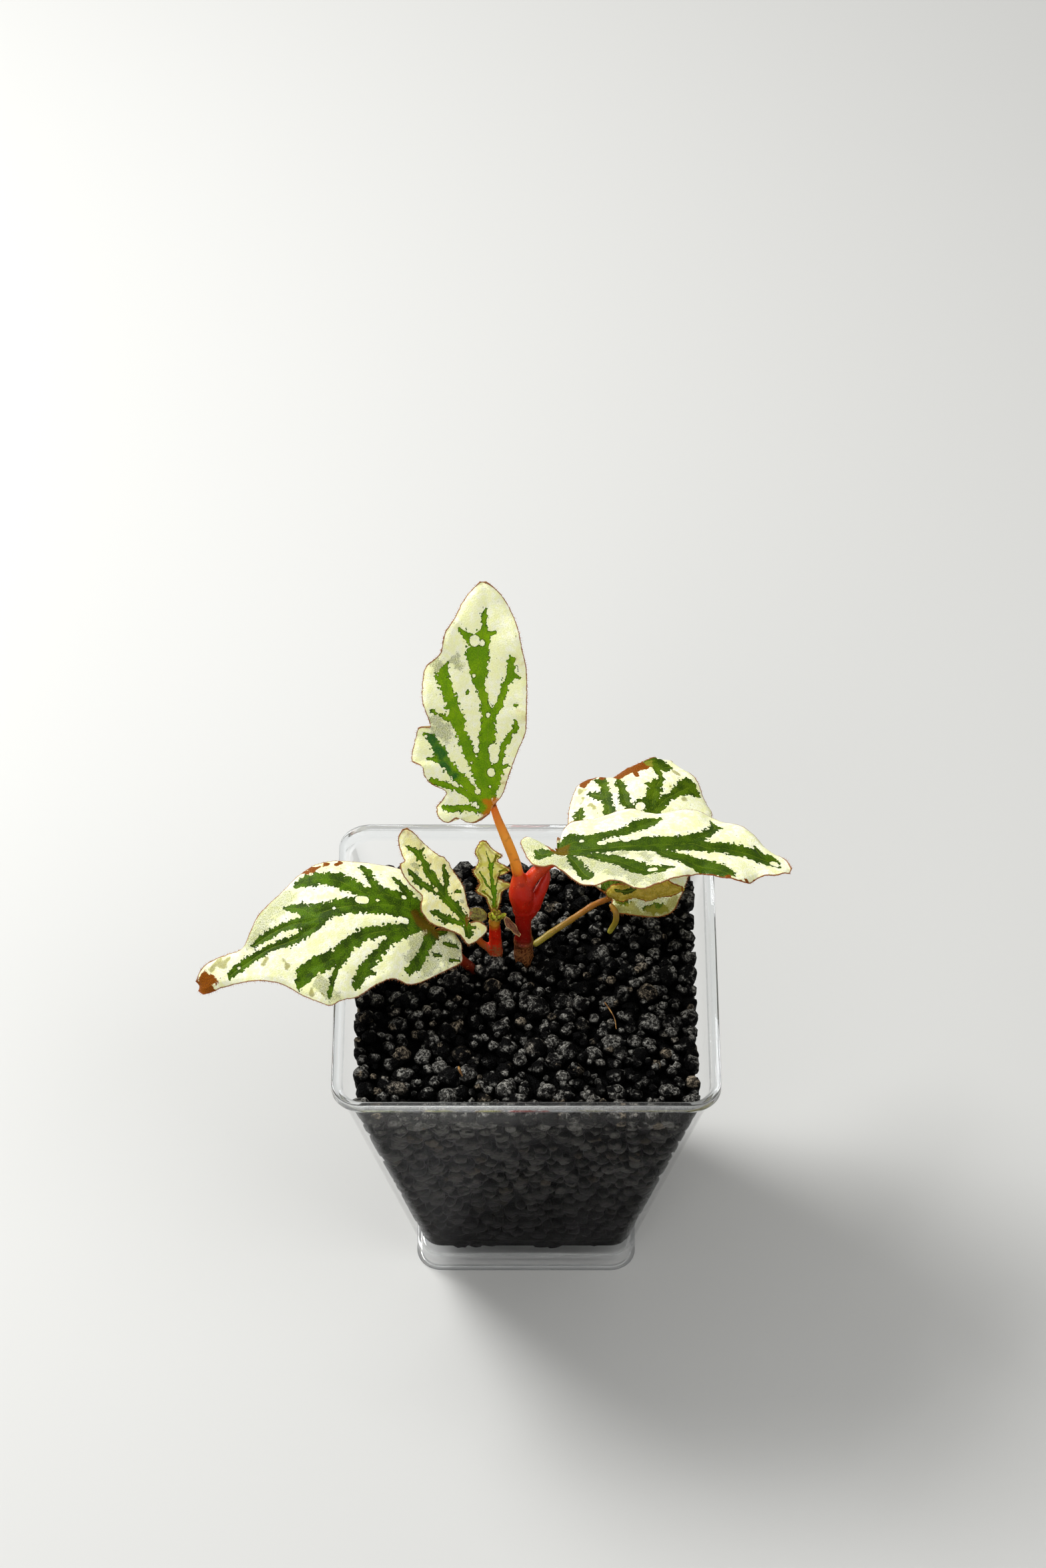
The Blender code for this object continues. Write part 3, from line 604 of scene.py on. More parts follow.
# A drooping lobe bends most behind the petiole, and not at all at droopEnd along the midrib
blade = {"hub": 0.2, "abeam": 2, "droopEnd": 6, "droopRun": 12, "droopSpan": 10, "rimSoft": 0.9,
         "rimShare": 0.45, "quiltWidth": 1.3, "grooveWidth": 0.28, "sharp": 70, "least": 0.05,
         "nibbles": (41, 67, 97, 131), "nibbleEase": 3, "waves": (11, 17, 23), "waveShare": 1.2,
         "waveSeed": 7, "isleLength": 0.35, "seedStep": 10, "markStep": 31.7}


def bend(run, fold, curl):  # how far out and down a half blade reaches, folded and curling evenly
    start = np.radians(fold)
    rate = np.radians(np.where(np.abs(curl) < 1e-5, 1e-5, curl))
    return ((np.sin(start + rate * run) - np.sin(start)) / rate,
            (np.cos(start) - np.cos(start + rate * run)) / rate)


def placeBlade(leaf, flat, lift):  # flat points of a leaf on its bent blade, in mm
    x, y = flat[..., 0], flat[..., 1]
    left = y > 0
    out, drop = bend(np.abs(y), np.where(left, *leaf["fold"]), np.where(left, *leaf["curl"]))
    hind = np.clip((blade["droopEnd"] - x) / blade["droopRun"], 0, 1) ** 2
    drop = drop + leaf["droop"] * hind * np.abs(y) / blade["droopSpan"] * ~left - lift
    out = np.where(left, out, -out)
    roll, pitch, arch, yaw = (math.radians(leaf[key]) for key in ("roll", "pitch", "arch", "yaw"))
    across = out * math.cos(roll) + drop * math.sin(roll)
    up = out * math.sin(roll) - drop * math.cos(roll)
    angle = pitch - arch * x
    ahead = (math.sin(pitch) - np.sin(angle)) / arch - up * np.sin(angle)
    rise = (np.cos(angle) - math.cos(pitch)) / arch + up * np.cos(angle)
    turned = [ahead * math.cos(yaw) - across * math.sin(yaw),
              ahead * math.sin(yaw) + across * math.cos(yaw), rise]
    return np.stack(turned, -1) + np.array(leaf["base"]) + potAxis


def abeam(margin):  # how far along a margin it leaves the lobe behind the petiole
    early = margin.marks < margin.marks[-1] / 2
    return margin.marks[np.flatnonzero((margin.points[:, 0] < blade["abeam"]) & early)[-1]] / margin.marks[-1]


def depthIn(flat, lines):  # mm inside bands that widen and narrow
    depth = np.full(flat.shape[:-1], -9.0)
    for line in lines:
        for (ax, ay, aw), (bx, by, bw) in zip(line, line[1:]):
            run = np.array([bx - ax, by - ay])
            share = np.clip((flat - (ax, ay)) @ run / (run @ run), 0, 1)
            away = np.linalg.norm(flat - (ax, ay) - share[..., None] * run, axis=-1)
            depth = np.maximum(depth, aw + (bw - aw) * share - away)
    return depth


def warped(a, b, rate, twist, twistRate):  # makes a patch's round outline wavy
    return a + 0.5 * np.sin(rate * b + twist * np.sin(twistRate * a))


def zone(flat, patches):  # near 1 in the middle of soft patches that run together, and 0 outside
    x = warped(flat[..., 0], flat[..., 1], 1.7, 1.2, 1.1)
    y = warped(flat[..., 1], flat[..., 0], 1.9, 1.1, 1.3)
    outside = np.ones(flat.shape[:-1])
    for middleX, middleY, radius in patches:
        outside *= 1 - np.exp(-((x - middleX) ** 2 + (y - middleY) ** 2) / radius**2)
    return 1 - outside


def rippled(count, waves, seed):  # a smooth random row from -1 to 1
    draw = np.random.default_rng(seed)
    t = np.linspace(0, 1, count)
    total = sum(draw.uniform(0.4, 1) * np.sin(math.tau * (wave * t + draw.uniform())) for wave in waves)
    return total / len(waves)


def bladeGrid(leaf, seed):
    fanRows, bladeRows, halfColumns = (count * leaf["fine"] for count in leaf["rows"])
    rows = fanRows + bladeRows
    row = np.arange(rows + 1)[:, None]
    column = np.arange(-halfColumns, halfColumns + 1)[None, :]
    midrib = Route(leaf["midrib"])
    along = np.where(row < fanRows, row / fanRows, (row - fanRows) / bladeRows)

    def spread(route, share):  # the fan's rows take this share of a route, and the blade's rows the rest
        return route.at(np.where(row < fanRows, share * along, share + (1 - share) * along))

    rib = spread(midrib, blade["hub"] / midrib.marks[-1])
    edges = []
    for side, key in enumerate(("left", "right")):
        margin = Route(leaf[key])
        edge = spread(margin, abeam(margin))
        away = edge - rib
        length = np.maximum(np.linalg.norm(away, axis=-1, keepdims=True), blade["least"])
        nibble = rippled(rows + 1, blade["nibbles"], seed + side)[:, None, None] * leaf["nibble"]
        edges.append(edge + away / length * nibble * np.minimum(length / blade["nibbleEase"], 1))
    edge = np.where((column <= 0)[..., None], edges[0], edges[1])
    reach = np.abs(column) / halfColumns
    flat = rib + (edge - rib) * reach[..., None]
    outline = np.concatenate([edges[0][::-2, 0], edges[1][1::2, 0], edges[0][-1:, 0]])
    rim = -depthIn(flat, [[(x, y, 0) for x, y in outline]])
    height, waves, phase = leaf["ruffle"]
    side = np.where(column <= 0, 0, 1)
    lift = height * reach**2 * np.sin(math.tau * waves * row / rows + phase + side)
    fineWave = [rippled(rows + 1, blade["waves"], seed + blade["waveSeed"] + k)[:, None] for k in (0, 1)]
    lift = lift + leaf["nibble"] * blade["waveShare"] * reach**3 * np.where(column <= 0, *fineWave)
    veins = [[(x, y, 0) for x, y, _ in line] for line in leaf["bands"]]
    vein = -depthIn(flat, veins) if veins else np.abs(flat[..., 1])
    swell = (leaf["quilt"] * (1 - np.exp(-((vein / blade["quiltWidth"]) ** 2)))
             - leaf["groove"] * np.exp(-((vein / blade["grooveWidth"]) ** 2)))
    lift = lift + swell * np.clip(rim, 0, 1)
    isles = [[(x, y, radius), (x + blade["isleLength"] * radius, y, radius)]
             for x, y, radius in leaf["holes"]]
    return {"points": placeBlade(leaf, flat, lift), "flat": flat, "rim": rim, "vein": vein,
            "depth": depthIn(flat, leaf["bands"]), "isle": -depthIn(flat, isles)}


def sheetMesh(grid, leaf, shift):  # a closed blade, thinner at its margin
    points, flat = grid["points"], grid["flat"]
    rows, columns = points.shape[:2]
    size = rows * columns
    normal = unit(np.cross(np.gradient(points, axis=0), -np.gradient(points, axis=1)))
    share = blade["rimShare"] + (1 - blade["rimShare"]) * np.clip(grid["rim"] / blade["rimSoft"], 0, 1)
    half = leaf["thickness"] / 2 * share[..., None]
    both = np.concatenate([(points + normal * half).reshape(-1, 3), (points - normal * half).reshape(-1, 3)])
    index = np.arange(size).reshape(rows, columns)
    quad = [index[:-1, :-1], index[:-1, 1:], index[1:, 1:], index[1:, :-1]]
    top = np.stack(quad, -1).reshape(-1, 4)
    bottom = np.stack([corner + size for corner in quad[::-1]], -1).reshape(-1, 4)
    loop = np.concatenate([index[0, :-1], index[:-1, -1], index[-1, :0:-1], index[:0:-1, 0]])
    after = np.roll(loop, -1)
    rim = np.stack([after, loop, loop + size, after + size], -1)
    mesh = meshFrom(both, np.concatenate([top, bottom, rim]).tolist())
    under = np.zeros(len(mesh.polygons), np.int32)
    under[len(top):len(top) + len(bottom)] = 1
    mesh.polygons.foreach_set("material_index", under)
    # the fades hold the painted shade with the olive and rose patches
    fades, stains = ([zone(flat, leaf["zones"].get(key, ())) for key in keys]
                     for keys in (("grey", "olive", "rose"), ("brown", "teal", "warm")))
    marks = {"flat": (flat[..., 0] + shift, flat[..., 1], grid["isle"]),
             "marks": (grid["depth"], grid["rim"], grid["vein"]), "fades": fades, "stains": stains}
    for name, values in marks.items():
        side = np.stack(values, -1).reshape(-1, 3)
        store(mesh, name, np.concatenate([side, side]))
    mesh.shade_smooth()
    mesh.set_sharp_from_angle(angle=math.radians(blade["sharp"]))
    return mesh


# Leaves: flat outlines from the petiole to the tip, how the blade is bent, and its marks.
# A band is a green stretch along a vein, as points and half widths; holes are cream islands in it.

plain = {"roll": 0, "droop": 0, "nibble": 0.16, "quilt": 0.22, "groove": 0.1, "bands": [], "holes": [],
         "zones": {}, "thickness": 0.36, "cream": (248, 249, 198), "pale": (255, 255, 228),
         "yellow": (236, 238, 158), "rose": (120, 78, 22), "spread": 0.18, "rolled": 0,
         "fine": 10, "slot": "leaf"}
leaves = {
    "leaf_top": {
        "base": (-6.5, 13, 94), "yaw": 92, "pitch": 66, "arch": 0.5,
        "fold": (-6, -6), "curl": (0.6, 0.6), "ruffle": (0.7, 5, 0.3), "rows": (6, 13, 4),
        "midrib": [(0, 0), (5.7, 0.4), (18.5, 0.8), (33, 0.8), (43, 0.7)],
        "left": [(-0.9, 0.3), (-1.8, 1.8), (-2.7, 3.4), (-2.6, 5), (-1.4, 6.6), (-2.2, 8.2), (-1.2, 9.9),
                 (0.5, 10.2), (2.1, 9), (3.6, 8.4), (5.5, 11.2), (7.2, 12.4), (9, 12.8), (9.9, 14.6),
                 (14.1, 13.8), (16.2, 13.1), (16.3, 11.1), (18.2, 11.5), (21.1, 12.4), (24.6, 12.3),
                 (27.5, 11.6), (29.9, 9), (33.7, 8), (36.4, 6.1), (39.5, 4.4), (41.7, 2.6), (43, 1.2)],
        "right": [(0.8, -0.8), (2.7, -2.1), (6.7, -3.4), (11, -5.1), (14.6, -6.6), (18.4, -6.9),
                  (23.5, -7.1), (27, -7), (30.5, -6.3), (34.3, -5.6), (38.1, -4.1), (40.6, -2.6),
                  (42.2, -1), (43, 0.2)],
        "bands": [
            [(-0.1, 0.6, 0.5), (3.1, 0.9, 1.3), (6.5, 1.2, 1.4), (10.1, 0.8, 1.6), (13.7, 0.5, 1.5),
             (17.2, 0.2, 1.3), (20.8, 1, 0.6), (24, 1.7, 0.9), (26.6, 1.9, 1.6), (29.7, 2, 2.1),
             (32.8, 0.9, 1.4), (34, 0.7, 0.7), (35.2, 0.7, 0.2), (36.6, 0.6, 0.4), (38, 0.2, 0.05)],
            [(32.2, 2.4, 0.8), (32.6, 3.6, 0.9), (33.6, 4.5, 0.4), (34.6, 5.4, 0.1)],
            [(33.3, 0.3, 0.7), (33.4, -0.5, 0.3), (33.5, -1.5, 0.1)],
            [(18.5, -0.3, 1.1), (19.8, -1.8, 0.6), (22.3, -2.5, 0.5), (23.9, -3.1, 0.6), (25.8, -4.2, 0.8),
             (28.4, -4.2, 0.7)],
            [(26, -4.1, 0.6), (25, -5.7, 0.1)],
            [(7.4, -0.4, 1), (10, -1.9, 0.4), (12.2, -2.4, 0.5), (14, -3.6, 0.6), (15.4, -4.7, 0.5),
             (16.8, -4.9, 0.2)],
            [(3, 0, 1), (5.7, -1, 0.8), (7.9, -1.7, 0.5), (8.6, -3.2, 0.1)],
            [(3.1, 1.2, 0.8), (7.5, 2.6, 0.9), (10.5, 3.5, 1.1), (12.9, 4.4, 1.1), (15.5, 5.6, 0.9),
             (17.5, 6, 1.3), (21, 7, 1.1), (24.5, 8.2, 1.2), (25.8, 8.6, 1.1), (26.9, 8.1, 0.6),
             (28.2, 7.6, 0.05)],
            [(17.5, 6.7, 0.6), (17.8, 8.1, 0.3), (18.8, 9.2, 0.05)],
            [(1.4, 1.4, 0.7), (3.6, 3.3, 0.8), (7.7, 7, 0.9), (9.4, 8.2, 0.9), (11.4, 9.3, 1),
             (14, 10.8, 0.8), (14.8, 11.9, 0.3)],
            [(9.8, 9.2, 0.5), (10.2, 10.4, 0.3), (10.2, 11.7, 0.05)],
            [(0.8, 1.8, 0.7), (2.9, 4.3, 0.7), (4.4, 6.1, 0.6), (5.1, 8, 0.5), (5.7, 9.9, 0.5),
             (6.3, 11.1, 0.3)],
            [(-0.3, 1.1, 0.5), (0.2, 2.7, 0.5), (0.4, 4.9, 0.5), (0.3, 7.2, 0.5), (0.4, 8.8, 0.4)],
            [(20, -4.7, 0.2), (20, -5.3, 0.1)],
            [(19.5, 10.7, 0.2), (18.9, 9.9, 0.1)],
            [(22.7, 4, 0.2), (22.3, 4, 0.1)],
        ],
        "holes": [(32, 2.5, 0.9), (31.6, 1.1, 0.5), (18.1, 0.3, 0.4), (13, 2.6, 0.5), (11.6, 2.6, 0.5),
                  (11.4, -0.7, 1), (9.8, -0.7, 0.8), (7.1, -0.1, 0.7), (4.4, 0.2, 0.2), (5.3, 6.8, 0.4),
                  (4.9, 6.3, 0.3), (3.5, 2.5, 0.5), (1, 3.1, 0.4), (0.4, 2.6, 0.3), (25.6, 2.8, 0.3),
                  (9.2, 3.6, 0.2), (14.2, -4.4, 0.3), (14.4, 11.9, 0.3)],
        "zones": {"grey": [(15.6, 8.7, 2.4), (27.7, 9.4, 1.6), (17.6, 10.6, 1.3), (28.3, 5.9, 1.3)],
                  "rose": [(-0.2, -0.1, 1.8), (1.3, 0, 1.3)],
                  "teal": [(13.7, 11.3, 1.9), (11.4, 9.5, 1.6), (9.1, 8.3, 1.5), (6.7, 7.4, 1.3)],
                  "warm": [(18.1, -6.2, 0.8), (5.7, -2.5, 1.5), (28, -5.7, 0.6)]},
        "green": (126, 166, 0), "deep": (98, 142, 0), "rose": (196, 108, 20), "spread": 0.27,
        "cream": (251, 252, 198), "pale": (255, 255, 224), "yellow": (247, 249, 172),
    },
    "leaf_left": {
        "base": (-17.6, 3.3, 71), "yaw": 184, "pitch": 30, "arch": 1.55, "roll": -18,
        "fold": (6, 6), "curl": (1, 1.8), "droop": 4, "ruffle": (0.6, 5, 1), "rows": (6, 14, 4),
        "midrib": [(0, 0), (3.3, -2), (8, -2.2), (13.8, -1.2), (24.9, 1.3), (37.1, 4.4), (42.3, 5.4),
                   (47.3, 4.8), (49.8, 4.1)],
        "left": [(-0.8, -0.5), (-2.8, -1.2), (-5.5, -1.7), (-7.3, 0.6), (-7.9, 3.3), (-5.4, 6), (-0.6, 9.8),
                 (3.3, 11.5), (6.7, 11.3), (10.2, 12.7), (14.7, 15), (18.6, 15.8), (21.6, 16.9), (27, 14.4),
                 (31.8, 11), (36.9, 9.2), (45.1, 6.8), (49.5, 6.2), (50.2, 5)],
        "right": [(-0.2, -0.8), (-2.2, -3.2), (-3.4, -6), (-2, -9.2), (2.2, -11.8), (6.5, -13.8),
                  (11.1, -14.9), (17.4, -15), (21.9, -13.8), (25.3, -11.7), (29.2, -7.7), (33.4, -3.2),
                  (37.5, 1.6), (41.5, 1.5), (44.5, 1.3), (47.8, 1.9), (49.8, 3.2)],
        "bands": [
            [(0.3, -0.7, 1.3), (3.3, -2.5, 3.2), (6.1, -3.6, 3.2), (9.6, -3.3, 2.2), (13.3, -2.9, 1.9),
             (17.1, -2.3, 1.6), (20.1, -1.7, 1.7), (23.1, -0.7, 2.3), (25.3, -2.7, 1.1), (26.8, -3, 0.7),
             (28.5, -3.6, 0.1)],
            [(22.4, 0, 1.8), (24.8, 0.4, 1), (27.1, 0.3, 0.8), (29.5, 0.7, 0.7), (32, 1.3, 0.7),
             (34.2, 2, 0.5), (35.6, 2.4, 0.1)],
            [(23, 1.5, 0.8), (25.2, 2.4, 1), (26.3, 3.2, 0.7), (28.8, 3.7, 0.7), (31.7, 3.8, 0.6),
             (34.9, 4.4, 0.7), (37.3, 5, 0.7), (39.8, 5.4, 0.8), (42.2, 5.8, 0.5)],
            [(5.6, -5.1, 1.6), (9.5, -5.8, 1.3), (11.7, -5.7, 1.1), (14, -6, 1.3), (16.1, -7.4, 1.8),
             (18.3, -8.8, 1.9), (20.9, -9.3, 1.5), (23.5, -9.3, 1.6), (25.4, -9, 0.9), (26.1, -8.2, 0.1)],
            [(10.4, -6.1, 1), (11.9, -9.1, 0.6), (12.6, -11.7, 0.8), (13.3, -13.1, 0.5)],
            [(5.1, -6.8, 1), (6.4, -8.9, 0.5), (7.6, -10.5, 0.2)],
            [(3.6, 0.3, 1.3), (7.1, 1.5, 1.1), (10.6, 2.6, 1), (13.8, 3.4, 1.1), (16.1, 5, 1.2),
             (18.2, 6.9, 1.3), (21.2, 8.5, 1.4), (24.3, 9.3, 1.6), (26.2, 10.4, 1.7), (27.6, 11.7, 1),
             (28.5, 11, 0.1)],
            [(17.2, 7.3, 0.6), (19.2, 9.6, 0.5), (20.3, 11.8, 0.4), (20.8, 13.6, 0.4), (21.4, 15.1, 0.4)],
            [(4.7, 1, 1.1), (7.8, 3.2, 1), (9.6, 5.4, 0.9), (11.5, 7.9, 1), (13.6, 10.3, 1.1),
             (14.6, 12, 1.1), (15.2, 13, 0.6)],
            [(13.5, 10.7, 0.5), (11, 10.7, 0.1)],
            [(0.1, 1, 1.3), (0.9, 3.6, 0.8), (1.4, 5.7, 1), (2.4, 7.6, 1.2), (3.5, 8.8, 0.8),
             (4.6, 8.8, 0.1)],
            [(0, 0.3, 0.9), (-1.7, -0.1, 0.5), (-2.9, -0.8, 0.1)],
            [(-2.8, 1.8, 0.2), (-4.3, 1.5, 0.4), (-5.7, 1.1, 0.3)],
            [(-1.2, 4.6, 0.2), (-2.5, 4.5, 0.2)],
            [(-4.7, 4.7, 0.1), (-6.9, 3.7, 0.1)],
        ],
        "holes": [(14.2, -3.9, 0.8), (13.5, -3.9, 0.8), (11, -4.1, 0.3), (5.9, -5.8, 0.4), (19.2, -2, 0.3),
                  (6.6, -0.4, 0.6), (5.7, -0.3, 0.6), (10.4, 3.9, 0.4), (9.6, 3.7, 0.4), (39.7, 5.3, 0.3)],
        "zones": {"grey": [(28.5, -5.9, 2.6), (31.4, -3.4, 3), (33.6, -1, 2.4), (36.1, 1.1, 2),
                           (2.4, 2.8, 2.5), (-1.2, 3, 3.2), (-4.8, 2.5, 2.8), (3, 6.5, 2.1),
                           (23, 12.7, 2.1), (20.9, 14.7, 1.7), (-0.7, 6.7, 2.5)],
                  "olive": [(44.8, 2.7, 1), (43, 2.8, 1.1), (41.2, 2.8, 0.9), (30, 7.8, 0.8),
                            (34, 6.4, 0.8), (25, 14, 0.8), (22.8, 14.6, 0.6)],
                  "rose": [(0.1, -0.7, 2.2), (1.6, -1.1, 2), (4.1, -2, 1.3)],
                  "brown": [(47.8, 5, 2.6), (49.6, 4.6, 1.6), (24.2, -11.6, 0.8), (22.4, -12.4, 0.9),
                            (20.4, -13, 0.9), (18, -13.8, 0.7)]},
        "green": (78, 110, 0), "deep": (44, 64, 0), "rose": (88, 62, 4), "spread": 0.34,
    },
    "leaf_right": {
        "base": (5.9, 12.9, 82), "yaw": -2, "pitch": 12, "arch": 0.7, "roll": -10,
        "fold": (-3, -6), "curl": (1, 0.6), "ruffle": (0.7, 6, 2), "rows": (6, 14, 4),
        "midrib": [(0, 0), (5.4, 0.5), (11, 0.7), (17, 1.6), (23.1, 2.7), (29.1, 2.7), (37.3, 1.6),
                   (44.3, -1.3)],
        "left": [(-0.3, 0.7), (-0.2, 3.3), (0.8, 6.6), (3.2, 10.1), (6.4, 11.7), (10.6, 12.4), (14.8, 13.2),
                 (21.1, 13.6), (25.3, 13.8), (29.5, 13.6), (33.7, 11), (37.7, 7.6), (40.9, 4.8), (43.3, 2),
                 (44.5, -0.6)],
        "right": [(-0.9, 0.5), (-2.3, 2.7), (-3.9, 4.8), (-6.3, 6.1), (-7.4, 4.8), (-6.8, 2.2),
                  (-5.5, -0.8), (-3.7, -2.9), (-0.7, -4.8), (1.1, -6.9), (3.6, -9.4), (6, -11),
                  (8.8, -11.9), (11.5, -11.5), (15.3, -12.5), (19.1, -11.3), (22.2, -10.4), (24.9, -8),
                  (26.9, -6.6), (28.9, -7.3), (32, -8.7), (35.6, -8), (38.2, -4.9), (41.1, -4.3),
                  (43.3, -2.8), (44.2, -1.9)],
        "bands": [
            [(0.2, -0.1, 0.8), (3, 0.2, 1.5), (9.5, 0.2, 1.7), (12.6, 0.6, 1.8), (15.8, 0.9, 2),
             (19, 1.2, 2.1), (22.2, 1.5, 2.2), (25.5, 2.4, 2.2), (28.3, 1.4, 1.4), (31.2, 1.9, 1.6),
             (33.6, 1.7, 1.9), (36.1, 1.5, 1.6), (38.6, 0.8, 1.8), (40.4, 0.4, 1.7), (42, -0.8, 0.4)],
            [(38.8, 1.4, 0.9), (37.5, 4.2, 0.2)],
            [(0.5, 1.2, 1.2), (2.9, 2.7, 2), (5.3, 2.7, 1.5), (7.7, 3.5, 1.2), (10.1, 4.5, 1.1),
             (12.5, 4.9, 1.1), (14.5, 6.4, 1.4), (16.5, 8.2, 1.7), (18.1, 9.6, 1.1), (19.3, 10.3, 0.4)],
            [(25.5, 3.4, 1.7), (27.6, 5.2, 1.1), (29.2, 7.1, 0.9), (30, 9.1, 0.5), (29.3, 11.2, 0.2)],
            [(29.9, 8.7, 1), (31.5, 9, 0.1)],
            [(2.3, -1.9, 0.5), (3.7, -4.2, 1), (5, -6.9, 1.1), (6.1, -8.6, 1.1), (7, -9.3, 0.1)],
            [(0.6, -0.6, 0.6), (3.9, -1.4, 0.6), (7.2, -2.4, 0.9), (9.6, -3.8, 1.3), (12, -5, 1.5),
             (14.4, -6.4, 1.8), (16.8, -7.3, 1.6), (19.1, -7.3, 1.2), (20.6, -6.9, 0.7), (21.9, -6.7, 0.1)],
            [(19.1, -0.7, 0.9), (21, -2.4, 1.3), (23.4, -3.2, 1.6), (25.8, -4.3, 1.8), (28.1, -4.9, 2),
             (30.1, -5.9, 1.8), (31.6, -6.9, 1.3), (32.8, -7.5, 0.2)],
            [(-0.5, 0.1, 0.7), (-1.7, 0, 1.1), (-3, 0, 1.4), (-3.9, 0.6, 0.5)],
        ],
        "holes": [(4.4, 2.8, 0.4), (8, 1.6, 0.5), (8.6, 1.6, 0.5), (9.9, 2.2, 0.6), (10.8, 2.4, 0.6),
                  (12.8, 2.6, 0.8), (14.4, 3.3, 1), (16, 4.2, 0.9), (17.6, -7.2, 0.5), (18.3, -7.1, 0.5),
                  (41, -0.1, 0.8), (35.4, 0.1, 0.3)],
        "zones": {"grey": [(-5.4, 3.2, 2.8), (-2.9, -2.4, 2.9), (-2.1, 3.7, 2.2), (0.5, -3.9, 2.3),
                           (3.3, -4.1, 2.8), (7.3, -5.7, 3), (11.3, -8.1, 2.6), (15.3, -9.5, 2.3),
                           (19.1, -10, 2.1), (7.9, -1.7, 1.7), (11.9, -2.4, 1.7), (17.1, -3.1, 1.7),
                           (20.6, -2.8, 1.4)],
                  "rose": [(0.2, 0.1, 1.8), (1.4, 0.4, 1.3)],
                  "brown": [(31.4, -8.8, 0.7), (33.4, -8.8, 0.8), (35.6, -8.3, 0.8), (37.6, -6.2, 0.6)]},
        "green": (72, 98, 0), "deep": (46, 68, 0), "rose": (104, 80, 0), "spread": 0.26,
    },
    "leaf_back": {
        "base": (16.6, 17.2, 66), "yaw": 75, "pitch": 34, "arch": 1.5,
        "fold": (6, 6), "curl": (1.4, 1.6), "ruffle": (0.7, 5, 4), "rows": (6, 13, 4),
        "midrib": [(0, 0), (10, 0.3), (20, 0), (30, -1.5), (35.6, -3)],
        "left": [(-0.2, 0.8), (0.2, 2.2), (1.6, 4.8), (3.4, 8), (6, 10.4), (9, 11.8), (13.9, 12.9),
                 (19.1, 14), (23.7, 13.8), (25, 13.1), (27.2, 9.6), (27.1, 7.6), (29.7, 5.3), (31.4, 2.4),
                 (33.2, 0.9), (34.8, -0.7), (35.6, -2.4)],
        "right": [(-0.8, -0.1), (-3.2, -0.4), (-3.2, -3.4), (-2.9, -6.3), (-2.1, -9.7), (-0.6, -12),
                  (1.8, -12.7), (6.5, -13.2), (12, -13.8), (18, -15), (25.3, -14.3), (28.8, -11.7),
                  (31.1, -9.9), (33.2, -7.5), (34.8, -5.4), (35.5, -3.6)],
        "bands": [
            [(1, -0.4, 1), (9, -2, 1.8), (17.5, -3.5, 1.4), (20.8, -2.7, 1.4), (22.7, -2.4, 1.2),
             (24.6, -2.2, 1.2), (26.6, -2.4, 0.9), (27.9, -2.7, 0.4), (28.5, -2.6, 0.1)],
            [(25.4, -1.5, 0.7), (25.5, -0.8, 0.3), (25.6, -0.3, 0.05)],
            [(2, -1, 1), (10, -3, 1.6), (19.3, -3.5, 1.4), (23.4, -4.9, 0.8), (25, -6, 0.6),
             (27.2, -7, 1.3), (29, -8, 1.8), (28.6, -9.3, 1.2), (28.2, -10.1, 0.3)],
            [(2, 0.2, 0.9), (10, 0.2, 1.3), (18.1, -0.5, 0.7), (18.7, 1.1, 0.5), (20, 2.4, 1),
             (21.6, 3.2, 0.8), (23.6, 4.1, 0.6), (25.3, 5.1, 0.5), (26.5, 5.5, 0.1)],
            [(1.5, 0.9, 0.9), (9, 2.8, 1.3), (16, 4.7, 1), (18.6, 5.4, 0.9), (20.5, 6.4, 0.8),
             (22.3, 7.1, 0.7), (23.9, 7.8, 0.7), (25.5, 8.8, 0.7), (25.6, 9.8, 0.3)],
            [(20.8, 7.2, 0.8), (21.5, 8.6, 0.5), (21.7, 9.6, 0.4), (22.1, 10.3, 0.1)],
            [(1, 1.6, 0.7), (8, 7, 1.1), (15, 10.7, 0.8), (17.1, 11, 0.8), (18.3, 11.2, 0.2)],
            [(16.2, 11.3, 0.5), (16.2, 12.2, 0.1)],
            [(31, 1.4, 0.4), (31.9, 0.3, 1.1), (32.5, -1, 1.5), (32.1, -2.3, 1.3), (32.8, -3.2, 0.2)],
            [(30.8, -0.8, 0.4), (29.9, -1.9, 0.5), (28.5, -2.5, 0.1)],
            [(18.3, 1.2, 0.4), (18.5, 0.1, 0.4), (20.7, -0.4, 0.4), (20.4, -1.7, 0.6)],
            [(-1.2, -6.6, 0.3), (-1, -7.8, 0.7), (-0.6, -9.2, 0.8), (-0.4, -10.6, 0.3)],
            [(2, -2, 0.8), (8, -7, 1.4), (14, -10, 1.2), (19, -11.5, 0.6)],
            [(0.2, -0.6, 0.6), (-0.6, -1.9, 0.8), (-1, -2.8, 0.4)],
        ],
        "holes": [(19.2, -0.7, 0.9)],
        "zones": {"brown": [(24.4, 12.8, 1), (25.8, 11.2, 1), (27.2, 8.6, 1), (28, 6.4, 1.4),
                            (29, 4.8, 1.5), (29.8, 3, 1.4), (30.6, 1.6, 1.1), (28.2, 2.4, 0.9)],
                  "olive": [(23, 12, 0.7), (20.6, 11.5, 0.6), (18.6, 8.8, 0.7), (30.8, -4.9, 0.8),
                            (26.8, -4.6, 0.6), (24.6, -8.5, 0.8), (31.8, 0.4, 0.9), (-2.6, -1.6, 1.6),
                            (-2.4, -4.4, 1.7), (-2.2, -7.6, 1.7), (-1, -10.8, 1.7), (1.6, -11.6, 1.6)],
                  "grey": [(-0.2, 3.5, 2), (-1.6, -2, 2.6), (-1.4, -5, 2.8), (-1, -8, 2.8), (0, -11, 2.6)]},
        "green": (82, 106, 6), "deep": (48, 70, 0), "spread": 0.38,
    },
    "leaf_small": {
